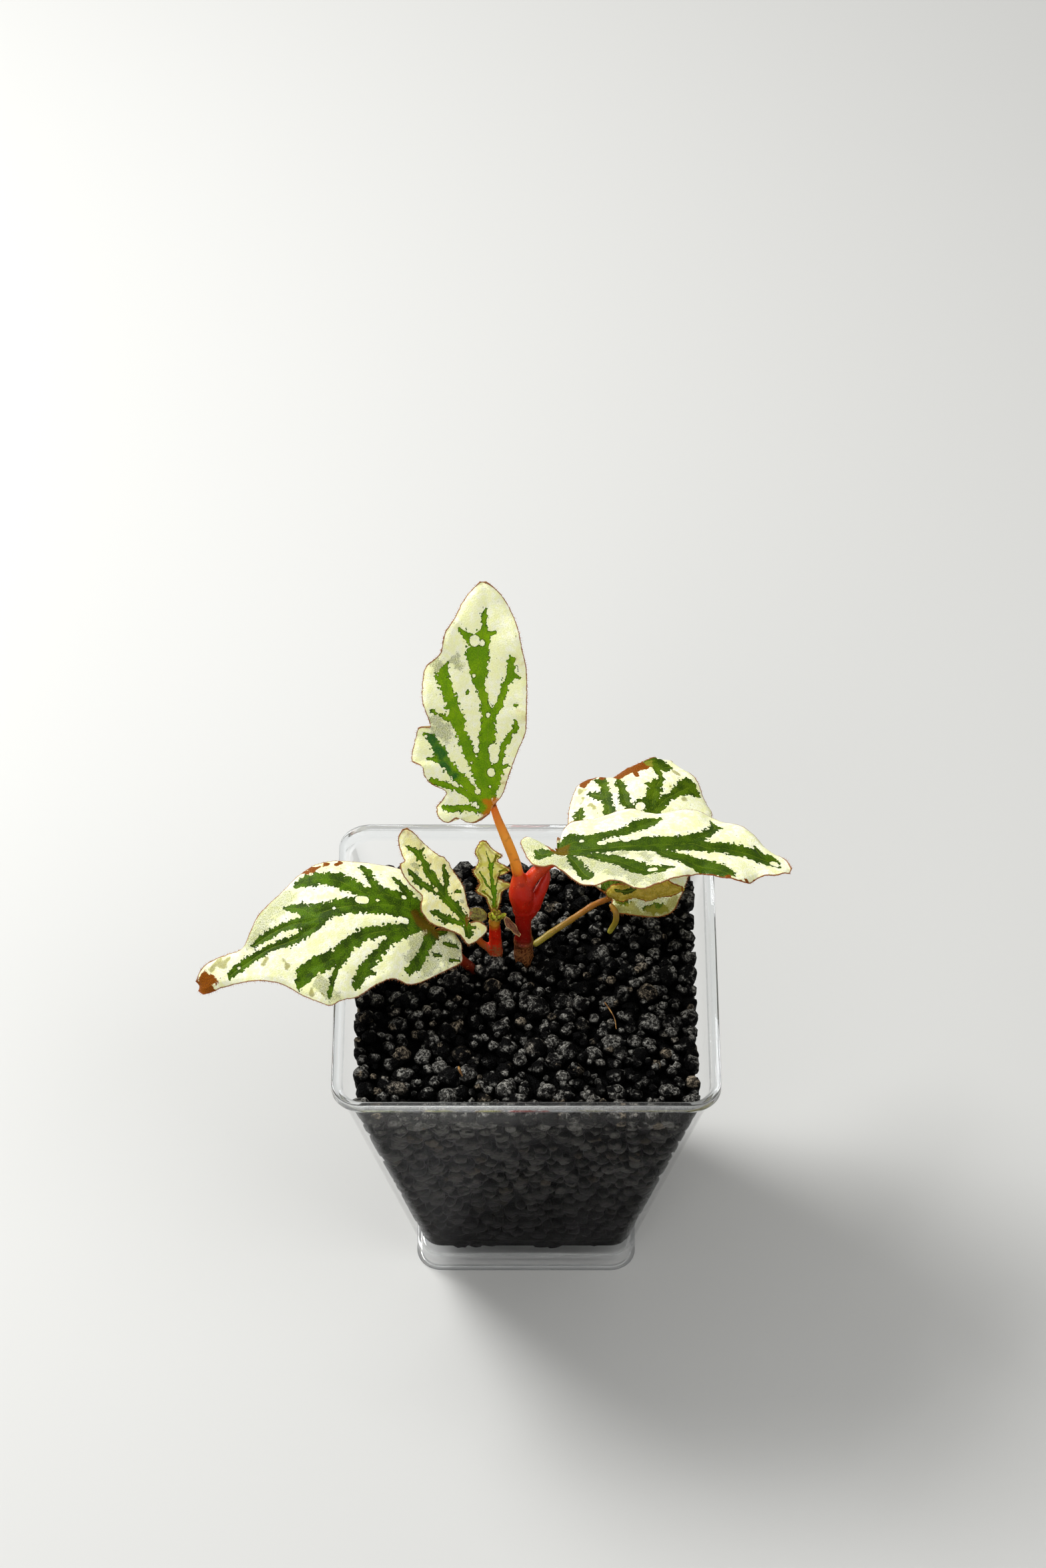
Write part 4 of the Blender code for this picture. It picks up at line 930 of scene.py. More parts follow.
        "base": (-11.2, 6.1, 69.9), "yaw": 134, "pitch": 46, "arch": 0.6,
        "fold": (-4, -4), "curl": (1, 1), "ruffle": (0.4, 4, 1), "rows": (5, 10, 3),
        "midrib": [(0, 0), (3.8, 0.7), (10.8, 1.5), (16.5, 1), (21.6, 0.4)],
        "left": [(-0.2, -0.7), (-0.7, -2.1), (-1.6, -2.8), (-2.7, -3.3), (-3.4, -3), (-3.9, -1.1),
                 (-3.9, 0.4), (-3.3, 2.2), (-1.1, 2.8), (1.5, 4.6), (4.1, 6.6), (5.9, 7.1), (7.6, 7.1),
                 (9.2, 5.3), (10.9, 5.6), (14.4, 6.3), (16.5, 5.7), (16.5, 4.4), (18.2, 3.8), (20.8, 2.5),
                 (21.6, 0.9)],
        "right": [(0.4, -0.8), (1.6, -2), (3.3, -2.3), (6.9, -3.2), (11, -3.4), (12.8, -3), (14.1, -2.1),
                  (17.3, -1.4), (19.8, -0.7), (21.4, 0)],
        "bands": [
            [(0.1, 0, 0.6), (1.9, 0.1, 0.9), (3.7, 0.5, 1.1), (5.3, 1, 1.1), (6.8, 1.4, 1), (8.5, 1.7, 1),
             (9.8, 1.3, 1), (11, 1.4, 0.9), (12.3, 1.4, 0.8), (13.8, 1.3, 0.7), (15.4, 1.3, 1),
             (16.3, 1.1, 0.9), (17, 1.4, 0.4), (17.8, 1.8, 0.3), (18.8, 2.3, 0.05)],
            [(16.2, 0.5, 0.5), (16.2, -0.1, 0.2), (16.4, -0.7, 0.1)],
            [(8.1, 2, 0.7), (9.9, 3.3, 0.6), (11.1, 3.9, 0.6), (12.1, 4.4, 0.7), (13.1, 4.5, 0.5),
             (14, 4.6, 0.5), (14.7, 4.9, 0.1)],
            [(7.1, 0.7, 0.5), (8.1, -0.1, 0.4), (8.9, -0.9, 0.5), (9.6, -1.3, 0.6), (10.6, -1.5, 0.5),
             (11.2, -1.6, 0.2), (11.7, -2.1, 0.2)],
            [(9.4, -1.4, 0.4), (9.3, -2.2, 0.05)],
            [(0.8, 1.2, 0.5), (2.2, 2.6, 0.5), (3.2, 3.4, 0.7), (4.1, 4.1, 0.6), (5.1, 4.7, 0.5),
             (6, 5.6, 0.1)],
            [(2.7, 3.7, 0.5), (2.2, 4.2, 0.1)],
            [(0.1, 0.3, 0.4), (-1, 0.6, 0.9), (-1.8, 0.8, 0.9), (-2.3, 1.2, 0.2)],
            [(-1.1, 0, 0.4), (-1.5, -1.2, 0.05)],
            [(6.2, -1.4, 0.3), (5.8, -1.9, 0.3)],
        ],
        "holes": [(8.6, 2.1, 0.4), (5.9, -0.3, 0.3), (5.6, -0.1, 0.3), (2.8, 1.5, 0.3), (2.1, 1.4, 0.3),
                  (4.3, 1.9, 0.2), (2.6, -0.6, 0.2), (14.6, 2, 0.4)],
        "zones": {"warm": [(20.6, 0.6, 1), (6, -1.7, 0.4), (14, 0.1, 0.7), (17.1, -0.2, 0.7),
                           (-1, -0.4, 0.8)],
                  "rose": [(0.1, 0, 0.8), (1, 0.1, 0.6)], "grey": [(14.2, 3.4, 0.9), (4, -1.2, 0.6)]},
        "nibble": 0.13, "quilt": 0.14, "green": (92, 128, 0), "deep": (58, 86, 0), "spread": 0.2,
        "cream": (255, 250, 178), "pale": (255, 255, 214), "yellow": (248, 240, 146),
    },
    "leaf_tiny": {
        "base": (-6, 10.3, 69), "yaw": 98, "pitch": 62, "arch": 0.5,
        "fold": (-10, -10), "curl": (0, 0), "ruffle": (0.3, 5, 0), "rows": (2, 14, 2),
        "midrib": [(0, 0), (7, 0.3), (14, 1.1)],
        "left": [(0, 0.7), (1.6, 1.2), (2.8, 1.5), (4.3, 3.3), (5.8, 2.6), (8.3, 3.6), (10.1, 2.4), (12, 3),
                 (13.5, 2), (14, 1.4)],
        "right": [(0, -0.7), (2.3, -1.4), (3.5, -1.7), (4.9, -3.8), (6.4, -1.2), (7.9, -3.5), (9.7, -1.3),
                  (10.8, -2.2), (11.9, -0.7), (13.8, 0.6)],
        "bands": [
            [(0.6, -0.1, 0.5), (2.1, -0.2, 0.5), (3.7, -0.1, 0.6), (5.3, 0, 0.5), (6.8, 0.1, 0.4),
             (8.4, 0.1, 0.5), (9.1, 0.1, 0.5)],
            [(9.1, 0.1, 0.4), (9.9, 0.4, 0.2), (10.9, 0.6, 0.1), (11.8, 0.8, 0.1)],
            [(9.1, -0.3, 0.3), (10, -0.8, 0.2), (10.8, -1.1, 0.2), (10.5, -1.8, 0.1)],
            [(4.1, 0.3, 0.2), (5.5, 1.3, 0.2), (7.1, 1.9, 0.2), (8.1, 2.4, 0.2)],
            [(4.2, -0.4, 0.2), (6, -1, 0.15), (7.7, -1.7, 0.2), (8.1, -2.5, 0.2), (7.6, -3.2, 0.1)],
            [(2, 0.2, 0.2), (3.2, 1.1, 0.15), (4.2, 2, 0.3)],
        ],
        "zones": {"warm": [(8.9, 3.1, 0.9), (8.2, -3.3, 0.9), (4.6, 3, 0.9), (4.7, -3.4, 0.9),
                           (12.9, 1.4, 0.9)]},
        "fine": 12, "nibble": 0.34, "quilt": 0.1, "groove": 0.06, "thickness": 0.28,
        "spread": 0.04, "rolled": 0.55,
        "green": (116, 174, 4), "deep": (84, 144, 0), "cream": (226, 234, 112), "pale": (248, 250, 176),
        "yellow": (214, 218, 84),
    },
    "leaf_under": {
        "base": (15.2, 15.6, 67.7), "yaw": 3, "pitch": 7, "arch": 0.6, "roll": 58,
        "fold": (0, 0), "curl": (9, 12), "ruffle": (0.7, 3.5, 0.5), "rows": (1, 9, 2),
        "midrib": [(0, 0), (6, 0.2), (15, 0)],
        "left": [(-0.2, 0.6), (2, 1.8), (5, 1.9), (8, 2.6), (11, 2.2), (14.5, 0.6)],
        "right": [(0.2, -0.6), (2.5, -1.6), (5, -1.4), (8, -2), (11.5, -1.4), (14.7, -0.5)],
        "bands": [[(2, 0.6, 0.1), (4, 0.2, 0.5), (5.6, 0.5, 0.2)], [(8, 1.8, 0.1), (10.4, 1.6, 0.3)]],
        "zones": {"warm": [(6, 0, 4), (11, 0, 4)]},
        "fine": 12, "slot": "leaf_underside", "nibble": 0.42, "quilt": 0.16, "groove": 0.08, "rolled": 0.5,
        "green": (76, 86, 8), "deep": (54, 66, 0), "cream": (158, 138, 32), "pale": (182, 166, 66),
        "yellow": (134, 112, 16),
    },
}


tones = {  # what the leaves' own colours are mixed with, painted shade among them
    "straw": (206, 208, 146), "paintedShade": (128, 134, 84), "warm": (190, 154, 60), "fleck": (92, 100, 40),
    "teal": (8, 84, 40), "net": (30, 58, 4), "light": (138, 164, 40), "midrib": (128, 146, 44),
    "outline": (26, 44, 2), "olive": (140, 134, 48), "wrinkle": (146, 124, 26), "dryDark": (78, 36, 4),
    "dryLight": (158, 90, 14), "redDark": (92, 36, 10), "redLight": (160, 86, 34),
    "under": (146, 138, 58), "underVein": (150, 84, 36),
}


def leafPaint(name, leaf, under):
    paint = Paint(name + ("_under" if under else "_face"),
                  {"Specular IOR Level": 0.09, "Subsurface Weight": 0.08, "Subsurface Scale": 0.0008,
                   "Subsurface Radius": (1.0, 0.8, 0.3)})
    flat = paint.stretch(paint.mark("flat"), (1, 1, 0))
    _, _, isle = paint.mark("flat").parts()
    depth, rim, vein = paint.mark("marks").parts()
    grey, olive, rose = paint.mark("fades").parts()
    brown, teal, warm = paint.mark("stains").parts()
    broad = paint.noise(flat, 0.35, 2)
    middle = paint.noise(flat, 1.15, 2, 0.45)
    fine = paint.noise(flat, 4.5, 3, 0.6)
    grain = paint.noise(flat, 16, 3, 0.65)
    net = paint.cells(flat, 2.4, "DISTANCE_TO_EDGE")
    tooth = paint.cells(flat, 1.9)

    def wavy(mask, byMiddle, byFine):  # a mask with an uneven edge
        return mask + (middle - 0.5) * byMiddle + (fine - 0.5) * byFine

    # The green's edge is torn into teeth, less so where the band is thin
    torn = (middle - 0.5) * 2.0 + (fine - 0.5) * 0.55 + (0.36 - tooth) * 0.75
    inside = depth + torn * (vein.smooth(0.0, 0.9) * 0.8 + 0.2) + leaf["spread"]
    inside = inside.math("MINIMUM", isle + (fine - 0.5) * 0.5)
    green = inside.smooth(-0.03, 0.05)
    outline = green * inside.smooth(0.24, 0.08)
    # Cream ground, yellower in places, greener and duller where the blade is thin and in painted shade where
    # it turns from the light
    fleck = paint.cells(paint.stretch(flat, (0.55, 1.3, 1.0)), 0.85).smooth(0.12, 0.06)
    # painted shade: grey-green patches where the blade turns from the light, and where it is thin
    paintedShade = wavy(grey * 1.1, 1.5, 0.9).smooth(0.3, 0.8)
    ground = paint.mix(middle.smooth(0.35, 0.65), leaf["cream"], leaf["pale"])
    for share, tone in (
            (broad.smooth(0.45, 0.62) * 0.5, leaf["yellow"]),
            ((fine + grain).smooth(0.98, 1.25) * 0.5, tones["straw"]),
            (paintedShade * ((grain + fine * 0.8).smooth(0.75, 1.05) * 0.65 + 0.22), tones["paintedShade"]),
            (warm * (grain + middle).smooth(0.8, 1.2) * 0.7, tones["warm"]),
            (fleck * paint.noise(flat, 0.8, 0.0).smooth(0.5, 0.56) * 0.85, tones["fleck"])):
        ground = paint.mix(share, ground, tone)
    # Green along the veins, with a darker edge and a paler line on the vein itself
    leafGreen = paint.mix((broad + (fine - 0.5) * 0.7).smooth(0.35, 0.65), leaf["deep"], leaf["green"])
    for share, tone in (
            (teal.smooth(0.3, 0.9) * 0.85, tones["teal"]),
            (net.smooth(0.12, 0.0) * 0.3, tones["net"]),
            ((grain + fine * 0.5).smooth(0.78, 1.0) * 0.4, tones["light"]),
            (vein.smooth(0.15, 0.05) * 0.4, tones["midrib"]),
            (outline * 0.75, tones["outline"])):
        leafGreen = paint.mix(share, leafGreen, tone)
    # Olive patches, the wrinkle along a margin that rolls in (its underside's tone with painted shade in the
    # fold), withered places and a thin red-brown margin
    dry = paint.mix((grain + fine * 0.6).smooth(0.6, 1.0), tones["dryDark"], tones["dryLight"])
    red = paint.mix(grain.smooth(0.4, 0.6), tones["redDark"], tones["redLight"])
    # the rolled margin is only painted: a line of underside tone and painted shade where the fold would be
    wrinkle = (rim + (fine - 0.5) * 0.5).smooth(0.3, 0.45) * (rim + (middle - 0.5) * 0.7).smooth(0.9, 0.6)
    colour = paint.mix(green, ground, leafGreen)
    for share, tone in (
            (wavy(olive, 0.9, 0.7).smooth(0.3, 0.7) * 0.75, tones["olive"]),
            (wrinkle * leaf["rolled"], tones["wrinkle"]),
            ((rose + (fine - 0.5) * 0.8).smooth(0.3, 0.8) * 0.85, leaf["rose"]),
            (wavy(brown, 0.7, 0.5).smooth(0.42, 0.5), dry),
            ((rim + (fine - 0.5) * 0.25).smooth(0.25, 0.1) * 0.92, red)):
        colour = paint.mix(share, colour, tone)
    if under:
        colour = paint.mix(0.45, colour, tones["under"])
        colour = paint.mix(vein.smooth(0.3, 0.1) * 0.6, colour, tones["underVein"])
    relief = net.smooth(0.0, 0.3) * 0.6 + fine * 0.6 + grain * 0.35
    paint.wear({"Base Color": colour,
                "Roughness": grain * 0.3 + (0.5 if under else 0.32),
                "Normal": paint.bump(relief, 0.3, 0.00025)})
    return paint.material


# Hairs: sizes in mm, and how far a hair strays from straight out

hairs = {
    "density": 2e7,
    "margin": {"sizes": {"Spacing": 0.42, "Length": 0.5, "Radius": 0.032}, "stray": 0.55},
    "stem": {"sizes": {"Radius": 0.018}, "stray": 0.5},
}


def hairTree(overSkin):  # fine hairs over a skin, or along a margin whose points know which way is out
    tree = Tree("skinHairs" if overSkin else "marginHairs",
                {"Spacing": "Float", "Length": "Float", "Radius": "Float", "Spread": "Float", "Seed": "Int"})
    seed = tree.input("Seed")
    if overSkin:
        points = tree.scatter(hairs["density"], seed)
        outward = Wire(tree, points.socket.node.outputs["Normal"])
    else:
        curve = tree.node("GeometryNodeMeshToCurve", {"Mesh": tree.input("Geometry")})
        points = tree.node("GeometryNodeResampleCurve", {"Curve": curve, "Length": tree.input("Spacing")},
                           mode="LENGTH")
        outward = tree.node("GeometryNodeInputNamedAttribute", {"Name": "outward"}, data_type="FLOAT_VECTOR")
    stray = tree.stray("Spread", seed + 1)
    heading = tree.node("ShaderNodeVectorMath", {0: outward, 1: stray}, operation="ADD")
    turn = tree.node("FunctionNodeAlignRotationToVector", {"Vector": heading}, axis="Z")
    hair = tree.node("GeometryNodeMeshCone",
                     {"Vertices": 4, "Side Segments": 2, "Radius Top": 0.0,
                      "Radius Bottom": tree.input("Radius"), "Depth": tree.input("Length")})
    return tree.end(tree.node("GeometryNodeInstanceOnPoints",
                              {"Points": points, "Instance": hair, "Rotation": turn,
                               "Scale": tree.random(0.5, 1.25, seed + 2)}))


def hairPaint(name, root, tip):
    paint = Paint(name, {"Roughness": 0.5, "Specular IOR Level": 0.3, "Subsurface Weight": 0.2,
                         "Subsurface Scale": 0.0003})
    tint = paint.noise(paint.place(), 700, 1)
    paint.wear({"Base Color": paint.mix(tint.smooth(0.35, 0.65), root, tip)})
    return paint.material


def makeFringe(name, points, tree, paint, seed):  # hairs along a blade's margin
    path = np.concatenate([points[:, 0], points[:, -1]])
    count = len(points)
    host = meshFrom(path, (), [(i, i + 1) for i in range(2 * count - 1) if i != count - 1])
    store(host, "outward", unit(path - np.concatenate([points[:, 1], points[:, -2]])))
    facts = hairs["margin"]
    mesh = tree.grow(host, paint, facts["sizes"], {"Spread": facts["stray"], "Seed": seed})
    mesh.shade_smooth()
    addPiece(name + "_fringe", mesh, "leaf")


def makeLeaves():
    tree = hairTree(False)
    paint = hairPaint("marginHair", (132, 60, 26), (206, 132, 76))
    for seed, (name, own) in enumerate(leaves.items(), 1):
        leaf = {**plain, **own}
        grid = bladeGrid(leaf, seed * blade["seedStep"])
        mesh = sheetMesh(grid, leaf, seed * blade["markStep"])
        mesh.materials.append(leafPaint(name, leaf, False))
        mesh.materials.append(leafPaint(name, leaf, True))
        addPiece(name + "_blade", mesh, leaf["slot"], name)
        makeFringe(name, grid["points"], tree, paint, seed)


# Stems: route points with a radius at each, raised rings as height, rise and width, and colours by height

stems = {
    "stem_main": {
        "branches": [
            [((-0.5, 8.9, 51), 1.8), ((-0.5, 8.9, 58), 1.9), ((-0.5, 9, 62.6), 1.6),
             ((-0.6, 9.2, 69.3), 1.6), ((-1, 9.5, 74.5), 2.3), ((-1.4, 10, 79), 1.2)],
            [((-1, 9.6, 73.6), 1.5), ((1.2, 10.8, 77.8), 1.4), ((3.4, 11.9, 79.5), 1.2),
             ((5.7, 12.8, 80.3), 0.9)],
            [((-0.4, 9.3, 66.8), 0.8), ((0.9, 9.7, 69.4), 1.2), ((2.3, 10.4, 73), 1.2),
             ((3.7, 11.5, 76.4), 0.9), ((4.1, 12, 78), 0.4)],
        ],
        "rings": [(61.9, 0.28, 0.5), (63, 0.12, 0.25), (70.3, 0.14, 0.4)],
        "fades": [(58, (50, 20, 8)), (61.8, (66, 24, 8)), (63.2, (112, 18, 4)), (68.5, (140, 18, 2)),
                  (73, (176, 30, 2)), (76.5, (186, 34, 2)), (80, (206, 62, 14))],
        "slot": "red_stem", "hairs": (0.8, 0.2), "scurf": (132, 86, 50),
    },
    "stem_second": {
        "branches": [
            [((-5.8, 8.9, 52), 1.2), ((-5.8, 8.9, 58), 1.25), ((-5.9, 9.2, 63.6), 1.15),
             ((-6, 9.6, 67.2), 1)],
            [((-5.9, 8.9, 58.8), 0.8), ((-8.6, 8.2, 62.4), 0.7), ((-10.6, 7.4, 66.4), 0.65),
             ((-11.7, 6.7, 69), 0.55)],
            [((-6, 9.7, 66), 0.6), ((-6.1, 11, 67.4), 0.5), ((-6.1, 11.5, 68.8), 0.45)],
        ],
        "rings": [(59.2, 0.2, 0.4), (66.6, 0.12, 0.3)],
        "fades": [(57.5, (60, 22, 8)), (59.5, (150, 44, 8)), (61.5, (196, 32, 0)), (65.5, (186, 32, 0)),
                  (67, (190, 130, 30))],
        "slot": "red_stem", "hairs": (0.75, 0.18), "scurf": (132, 86, 50),
        "shoot": (158, 76, 28), "shootFrom": (-0.9, -2),
    },
    "petiole_top": {
        "branches": [[((-1.5, 10.1, 79.4), 1.1), ((-2.4, 10.6, 83.4), 1), ((-3.6, 11.5, 86.8), 0.95),
                      ((-5.3, 13.1, 90.9), 0.8), ((-6.3, 14.45, 93.7), 0.65)]],
        "slot": "pink_stem", "hairs": (0.6, 0.26),
        "fades": [(79.4, (216, 78, 10)), (81.5, (230, 134, 36)),
                  (88, (234, 150, 50)), (93.5, (214, 106, 20))],
    },
    "petiole_back": {
        "branches": [[((1.8, 10.3, 59.7), 0.65), ((4.6, 11.8, 61), 0.65), ((8.4, 13.9, 62.4), 0.62),
                      ((12.9, 16.4, 64), 0.6), ((16.3, 18, 64.35), 0.6)]],
        "slot": "olive_stem", "hairs": (0.45, 0.22),
        "fades": [(59.5, (142, 134, 54)), (61.2, (138, 120, 40)),
                  (62.8, (144, 104, 32)), (64.4, (154, 98, 32))],
    },
    "petiole_left": {
        "branches": [[((-8.7, 7.3, 52), 1), ((-10.4, 6.2, 57.2), 1), ((-12.3, 5.2, 60.8), 0.95),
                      ((-15, 4.2, 65.8), 0.85), ((-16.6, 3.6, 68.8), 0.7)]],
        "slot": "red_stem", "hairs": (0.7, 0.22),
        "fades": [(57, (70, 24, 12)), (61, (104, 32, 14)), (66, (140, 62, 26)), (69, (164, 92, 40))],
    },
    "strip": {
        "branches": [[((16.2, 14.3, 66.1), 0.5), ((17, 13.3, 65.6), 0.6), ((17.2, 12.8, 64.4), 0.62),
                      ((16.9, 12.5, 63), 0.6), ((15.9, 12.2, 61), 0.5)]],
        "slot": "papery",
        "fades": [(60.8, (150, 146, 56)), (63, (124, 112, 36)), (66, (142, 104, 36))],
    },
}

# The joints' rings are wavy round the main stem, whose middle is given in the plant's own frame
skin = {"sides": 28, "step": 0.35, "voxel": 0.2, "ease": 6, "uneven": 0.05, "capAngles": (0.6, 1.1, 1.56),
        "ringWave": 0.25, "ringWaves": 3, "middle": (5.5, 2.3),
        "streak": (88, 22, 8), "speck": (236, 150, 96), "scurfLevels": (63.4, 61)}


def tubeParts(stations, sides, step):  # points and faces of a round stem with rounded ends
    route = Route([(*point, radius) for point, radius in stations])
    count = math.ceil(route.marks[-1] / step)
    rows = route.at(np.linspace(0, 1, count + 1))
    heading = np.gradient(rows[:, :3], axis=0)
    heading /= np.linalg.norm(heading, axis=1, keepdims=True)
    side = np.cross(heading[0], (0.3, 0.9, 0.1))
    turns = (np.arange(sides) / sides * math.tau)[:, None]
    rings = []
    for i, (row, ahead) in enumerate(zip(rows, heading)):
        side = side - ahead * (side @ ahead)
        side /= np.linalg.norm(side)
        circle = np.cos(turns) * side + np.sin(turns) * np.cross(ahead, side)
        centre, radius = row[:3], row[3]
        way = -ahead if i == 0 else ahead
        cap = [centre + way * radius * math.sin(a) + circle * radius * math.cos(a) for a in skin["capAngles"]]
        if i == 0:
            rings += cap[::-1]
        rings.append(centre + circle * radius)
        if i == count:
            rings += cap
    return np.concatenate(rings), ringFaces(len(rings), sides)


def stemPaint(name, stem):
    paint = Paint(name + "_skin", {"Specular IOR Level": 0.3, "Subsurface Weight": 0.05,
                                   "Subsurface Scale": 0.001, "Subsurface Radius": (1.0, 0.3, 0.12)})
    place = paint.place()
    x, _, z = place.parts()
    low, high = stem["fades"][0][0], stem["fades"][-1][0]
    height = (z / mm - low) / (high - low)
    streak = paint.noise(place, 700, 3, 0.6)
    blotch = paint.noise(place, 260, 2)
    fine = paint.noise(place, 2600, 2, 0.6)
    stops = [((level - low) / (high - low), tone) for level, tone in stem["fades"]]
    colour = paint.ramp(height + (blotch - 0.5) * 0.16, stops)
    if "shoot" in stem:  # its side shoot has another colour
        colour = paint.mix((x / mm).smooth(*stem["shootFrom"]), colour, stem["shoot"])
    colour = paint.mix(streak.smooth(0.52, 0.75) * 0.4, colour, skin["streak"])
    speck = paint.cells(place, 1500).smooth(0.2, 0.1) * blotch.smooth(0.45, 0.6)
    colour = paint.mix(speck * 0.4, colour, skin["speck"])
    if "scurf" in stem:  # dry and brown at the foot
        scurf = (fine + streak * 0.5).smooth(0.62, 0.86) * (z / mm).smooth(*skin["scurfLevels"])
        colour = paint.mix(scurf * 0.8, colour, stem["scurf"])
    paint.wear({"Base Color": colour, "Roughness": streak * 0.25 + 0.28,
                "Normal": paint.bump(streak + fine * 0.5, 0.4, 0.0003)})
    return paint.material


def fused(parts, voxel):  # one skin round overlapping tubes
    points, faces, shift = [], [], 0
    for tubePoints, tubeFaces in parts:
        points.append(tubePoints)
        faces += [tuple(corner + shift for corner in face) for face in tubeFaces]
        shift += len(tubePoints)
    mesh = meshFrom(np.concatenate(points) + potAxis, faces)
    turnOutwards(mesh)
    holder = addObject("tubes", mesh)
    remesh = holder.modifiers.new("skin", "REMESH")
    remesh.mode = "VOXEL"
    remesh.voxel_size = voxel * mm
    holder.modifiers.new("ease", "SMOOTH").iterations = skin["ease"]
    return settled(holder)


def swellRings(mesh, stem):  # raised joints at their heights, and a slightly uneven skin
    points, normals = vectorsOf(mesh.vertices, "co") / mm, vectorsOf(mesh.vertex_normals, "vector")
    x, y, z = points.T
    swell = skin["uneven"] * np.sin(x * 2.1 + z * 0.9) * np.sin(y * 2.3 - z * 1.3)
    middleX, middleY = skin["middle"]
    wave = skin["ringWave"] * np.sin(np.arctan2(y - middleY, x - middleX) * skin["ringWaves"])
    for level, height, width in stem.get("rings", ()):
        wavy = level + wave
        swell = swell + height * np.exp(-(((z - wavy) / width) ** 2))
    movePoints(mesh, points + normals * swell[:, None])


def wearOnly(mesh, paint):
    mesh.shade_smooth()
    mesh.materials.clear()
    mesh.materials.append(paint)


def makeStems():
    tree = hairTree(True)
    pale = hairPaint("stemHair", (176, 92, 52), (222, 160, 112))
    for seed, (name, stem) in enumerate(stems.items(), 1):
        tubes = [tubeParts(branch, skin["sides"], skin["step"]) for branch in stem["branches"]]
        mesh = fused(tubes, skin["voxel"])
        swellRings(mesh, stem)
        wearOnly(mesh, stemPaint(name, stem))
        addPiece(name + "_skin", mesh, stem["slot"], name)
        if "hairs" in stem:
            spacing, length = stem["hairs"]
            sizes = {"Spacing": spacing, "Length": length, **hairs["stem"]["sizes"]}
            down = tree.grow(mesh.copy(), pale, sizes, {"Spread": hairs["stem"]["stray"], "Seed": seed})
            down.shade_smooth()
            addPiece(name + "_hairs", down, stem["slot"])


# Papery sheaths at the second stem's tip, and its rosette of curled young leaves

papery = {**plain, "fold": (0, 0), "curl": (4, 4), "rows": (1, 5, 1), "fine": 14, "thickness": 0.22,
          "quilt": 0.08, "groove": 0.05, "nibble": 0.1}
sheaths = {
    "stipule_left": {
        "base": (-7.5, 9.4, 68.3), "yaw": 170, "pitch": 12, "arch": 2, "roll": -35, "ruffle": (0.2, 2, 0),
        "midrib": [(0, 0), (2, 0.1), (3.8, 0)],
        "left": [(-0.1, 0.5), (1, 1.4), (2.6, 1.3), (3.8, 0.3)],
        "right": [(0.1, -0.5), (1.2, -1.2), (2.6, -1.1), (3.8, -0.3)],
        "tones": ((138, 138, 40), (82, 66, 18), (126, 108, 40)),
    },
    "stipule_right": {
        "base": (-4.1, 8.0, 69.3), "yaw": -28, "pitch": -42, "arch": 1, "roll": 10, "ruffle": (0.2, 2, 1),
        "midrib": [(0, 0), (2, 0.1), (4.6, 0)],
        "left": [(-0.1, 0.4), (1, 0.8), (2.8, 0.7), (4.6, 0.3)],
        "right": [(0.1, -0.4), (1.2, -0.8), (2.8, -0.7), (4.6, -0.3)],
        "tones": ((140, 90, 48), (78, 36, 16), (176, 146, 96)),
    },
}
bud = {
    "centre": (-5.8, 8.7, 68.7), "count": 12, "size": (1.5, 2.3), "seed": 5, "gridSeed": 60,
    "turn": 137.5, "yaw": 15, "lowPitch": 5, "morePitch": 60, "pitch": 12, "roll": 25,
    "out": 0.5, "flat": 0.7, "climb": 0.8, "sink": 0.6,
    "tones": ((226, 228, 84), (176, 190, 40), (124, 84, 20)),
    "leaf": {
        **plain, "arch": -30, "fold": (-15, -15), "curl": (-35, -35), "ruffle": (0.14, 3, 0),
        "rows": (1, 5, 1), "fine": 7, "thickness": 0.2, "quilt": 0.03, "groove": 0.03, "nibble": 0.05,
        "midrib": [(0, 0), (1.2, 0.05), (2.4, 0)],
        "left": [(-0.1, 0.35), (0.5, 1.0), (1.3, 1.15), (2.1, 0.7), (2.4, 0.25)],
        "right": [(-0.1, -0.35), (0.5, -1.0), (1.3, -1.15), (2.1, -0.7), (2.4, -0.25)],
    },
}


def youngPaint(name, tones, rimWidth):  # a ground, a darker tone on it, and a margin
    ground, dark, margin = tones
    paint = Paint(name, {"Roughness": 0.5, "Subsurface Weight": 0.2, "Subsurface Scale": 0.001})
    flat = paint.mark("flat")
    _, rim, vein = paint.mark("marks").parts()
    fine = paint.noise(flat, 3.5, 3, 0.6)
    ribs = paint.noise(flat, 9, 2)
    colour = paint.mix((fine + ribs * 0.4).smooth(0.5, 0.85), ground, dark)
    colour = paint.mix(vein.smooth(0.16, 0.04) * 0.6, colour, dark)
    colour = paint.mix((rim + (fine - 0.5) * 0.15).smooth(rimWidth, rimWidth * 0.4), colour, margin)
    paint.wear({"Base Color": colour, "Normal": paint.bump(fine + ribs, 0.5, 0.0002)})
    return paint.material


def makeSheaths():
    for seed, (name, own) in enumerate(sheaths.items(), 20):
        leaf = {**papery, **own}
        mesh = sheetMesh(bladeGrid(leaf, seed), leaf, seed)
        mesh.materials.append(youngPaint(name + "_paper", leaf["tones"], 0.14))
        addPiece(name + "_blade", mesh, "papery", name)


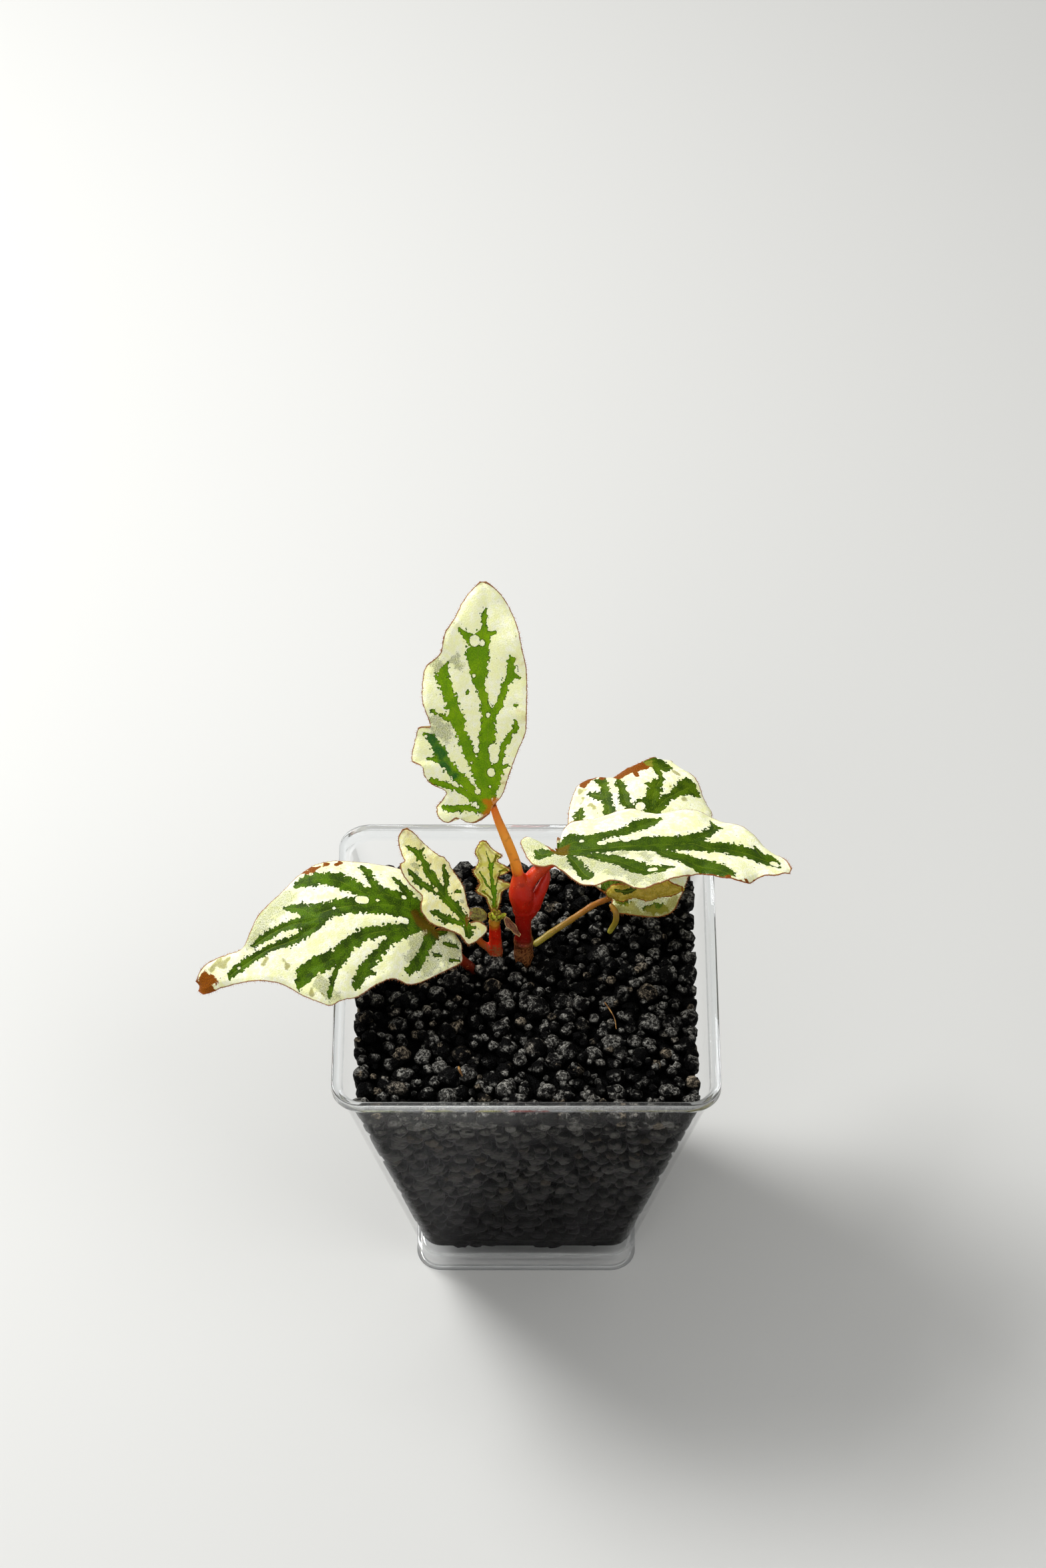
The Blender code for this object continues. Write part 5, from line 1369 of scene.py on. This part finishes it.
def makeBud():  # young leaves turned by the golden angle, the inner ones steeper
    draw = np.random.default_rng(bud["seed"])
    bm = bmesh.new()
    for i in range(bud["count"]):
        size = draw.uniform(*bud["size"]) / bud["leaf"]["midrib"][-1][0]
        ring = i / bud["count"]
        leaf = dict(bud["leaf"])
        for key in ("midrib", "left", "right"):
            leaf[key] = [(x * size, y * size) for x, y in leaf[key]]
        yaw, pitch, roll = (draw.uniform(-bud[key], bud[key]) for key in ("yaw", "pitch", "roll"))
        leaf["yaw"] = bud["turn"] * i + yaw
        leaf["pitch"] = bud["lowPitch"] + bud["morePitch"] * ring + pitch
        leaf["roll"] = roll
        heading = math.radians(leaf["yaw"])
        out = bud["out"] * (1 - ring)
        away = (out * math.cos(heading), out * bud["flat"] * math.sin(heading),
                bud["climb"] * ring - bud["sink"])
        leaf["base"] = np.array(bud["centre"]) + away
        seed = bud["gridSeed"] + i
        mesh = sheetMesh(bladeGrid(leaf, seed), leaf, seed)
        bm.from_mesh(mesh)
        bpy.data.meshes.remove(mesh)
    joined = bpy.data.meshes.new("bud")
    bm.to_mesh(joined)
    bm.free()
    joined.polygons.foreach_set("material_index", np.zeros(len(joined.polygons), np.int32))
    joined.materials.append(youngPaint("youngLeaf", bud["tones"], 0.12))
    addPiece("bud_leaves", joined, "bud", "bud")


# Withered bits lying on the soil

bits = {
    "thread_on_soil": [((14.8, -5.2, 60.2), 0.14), ((15.5, -6.9, 60.6), 0.16), ((16.6, -9.4, 60.4), 0.14),
                       ((16.9, -11.8, 60.1), 0.1)],
    "husk_on_soil": [((-12.6, -21.0, 59.8), 0.22), ((-12.4, -22.2, 60.2), 0.3), ((-11.9, -23.2, 59.8), 0.14)],
}
bitSkin = {"sides": 8, "step": 0.3, "voxel": 0.09}


def makeBits():
    paint = hairPaint("witheredBit", (92, 62, 26), (150, 112, 58))
    for name, stations in bits.items():
        mesh = fused([tubeParts(stations, bitSkin["sides"], bitSkin["step"])], bitSkin["voxel"])
        wearOnly(mesh, paint)
        addPiece(name, mesh, "papery")


setStage()
makeCup()
makeSoil()
makeStems()
makeLeaves()
makeSheaths()
makeBud()
makeBits()
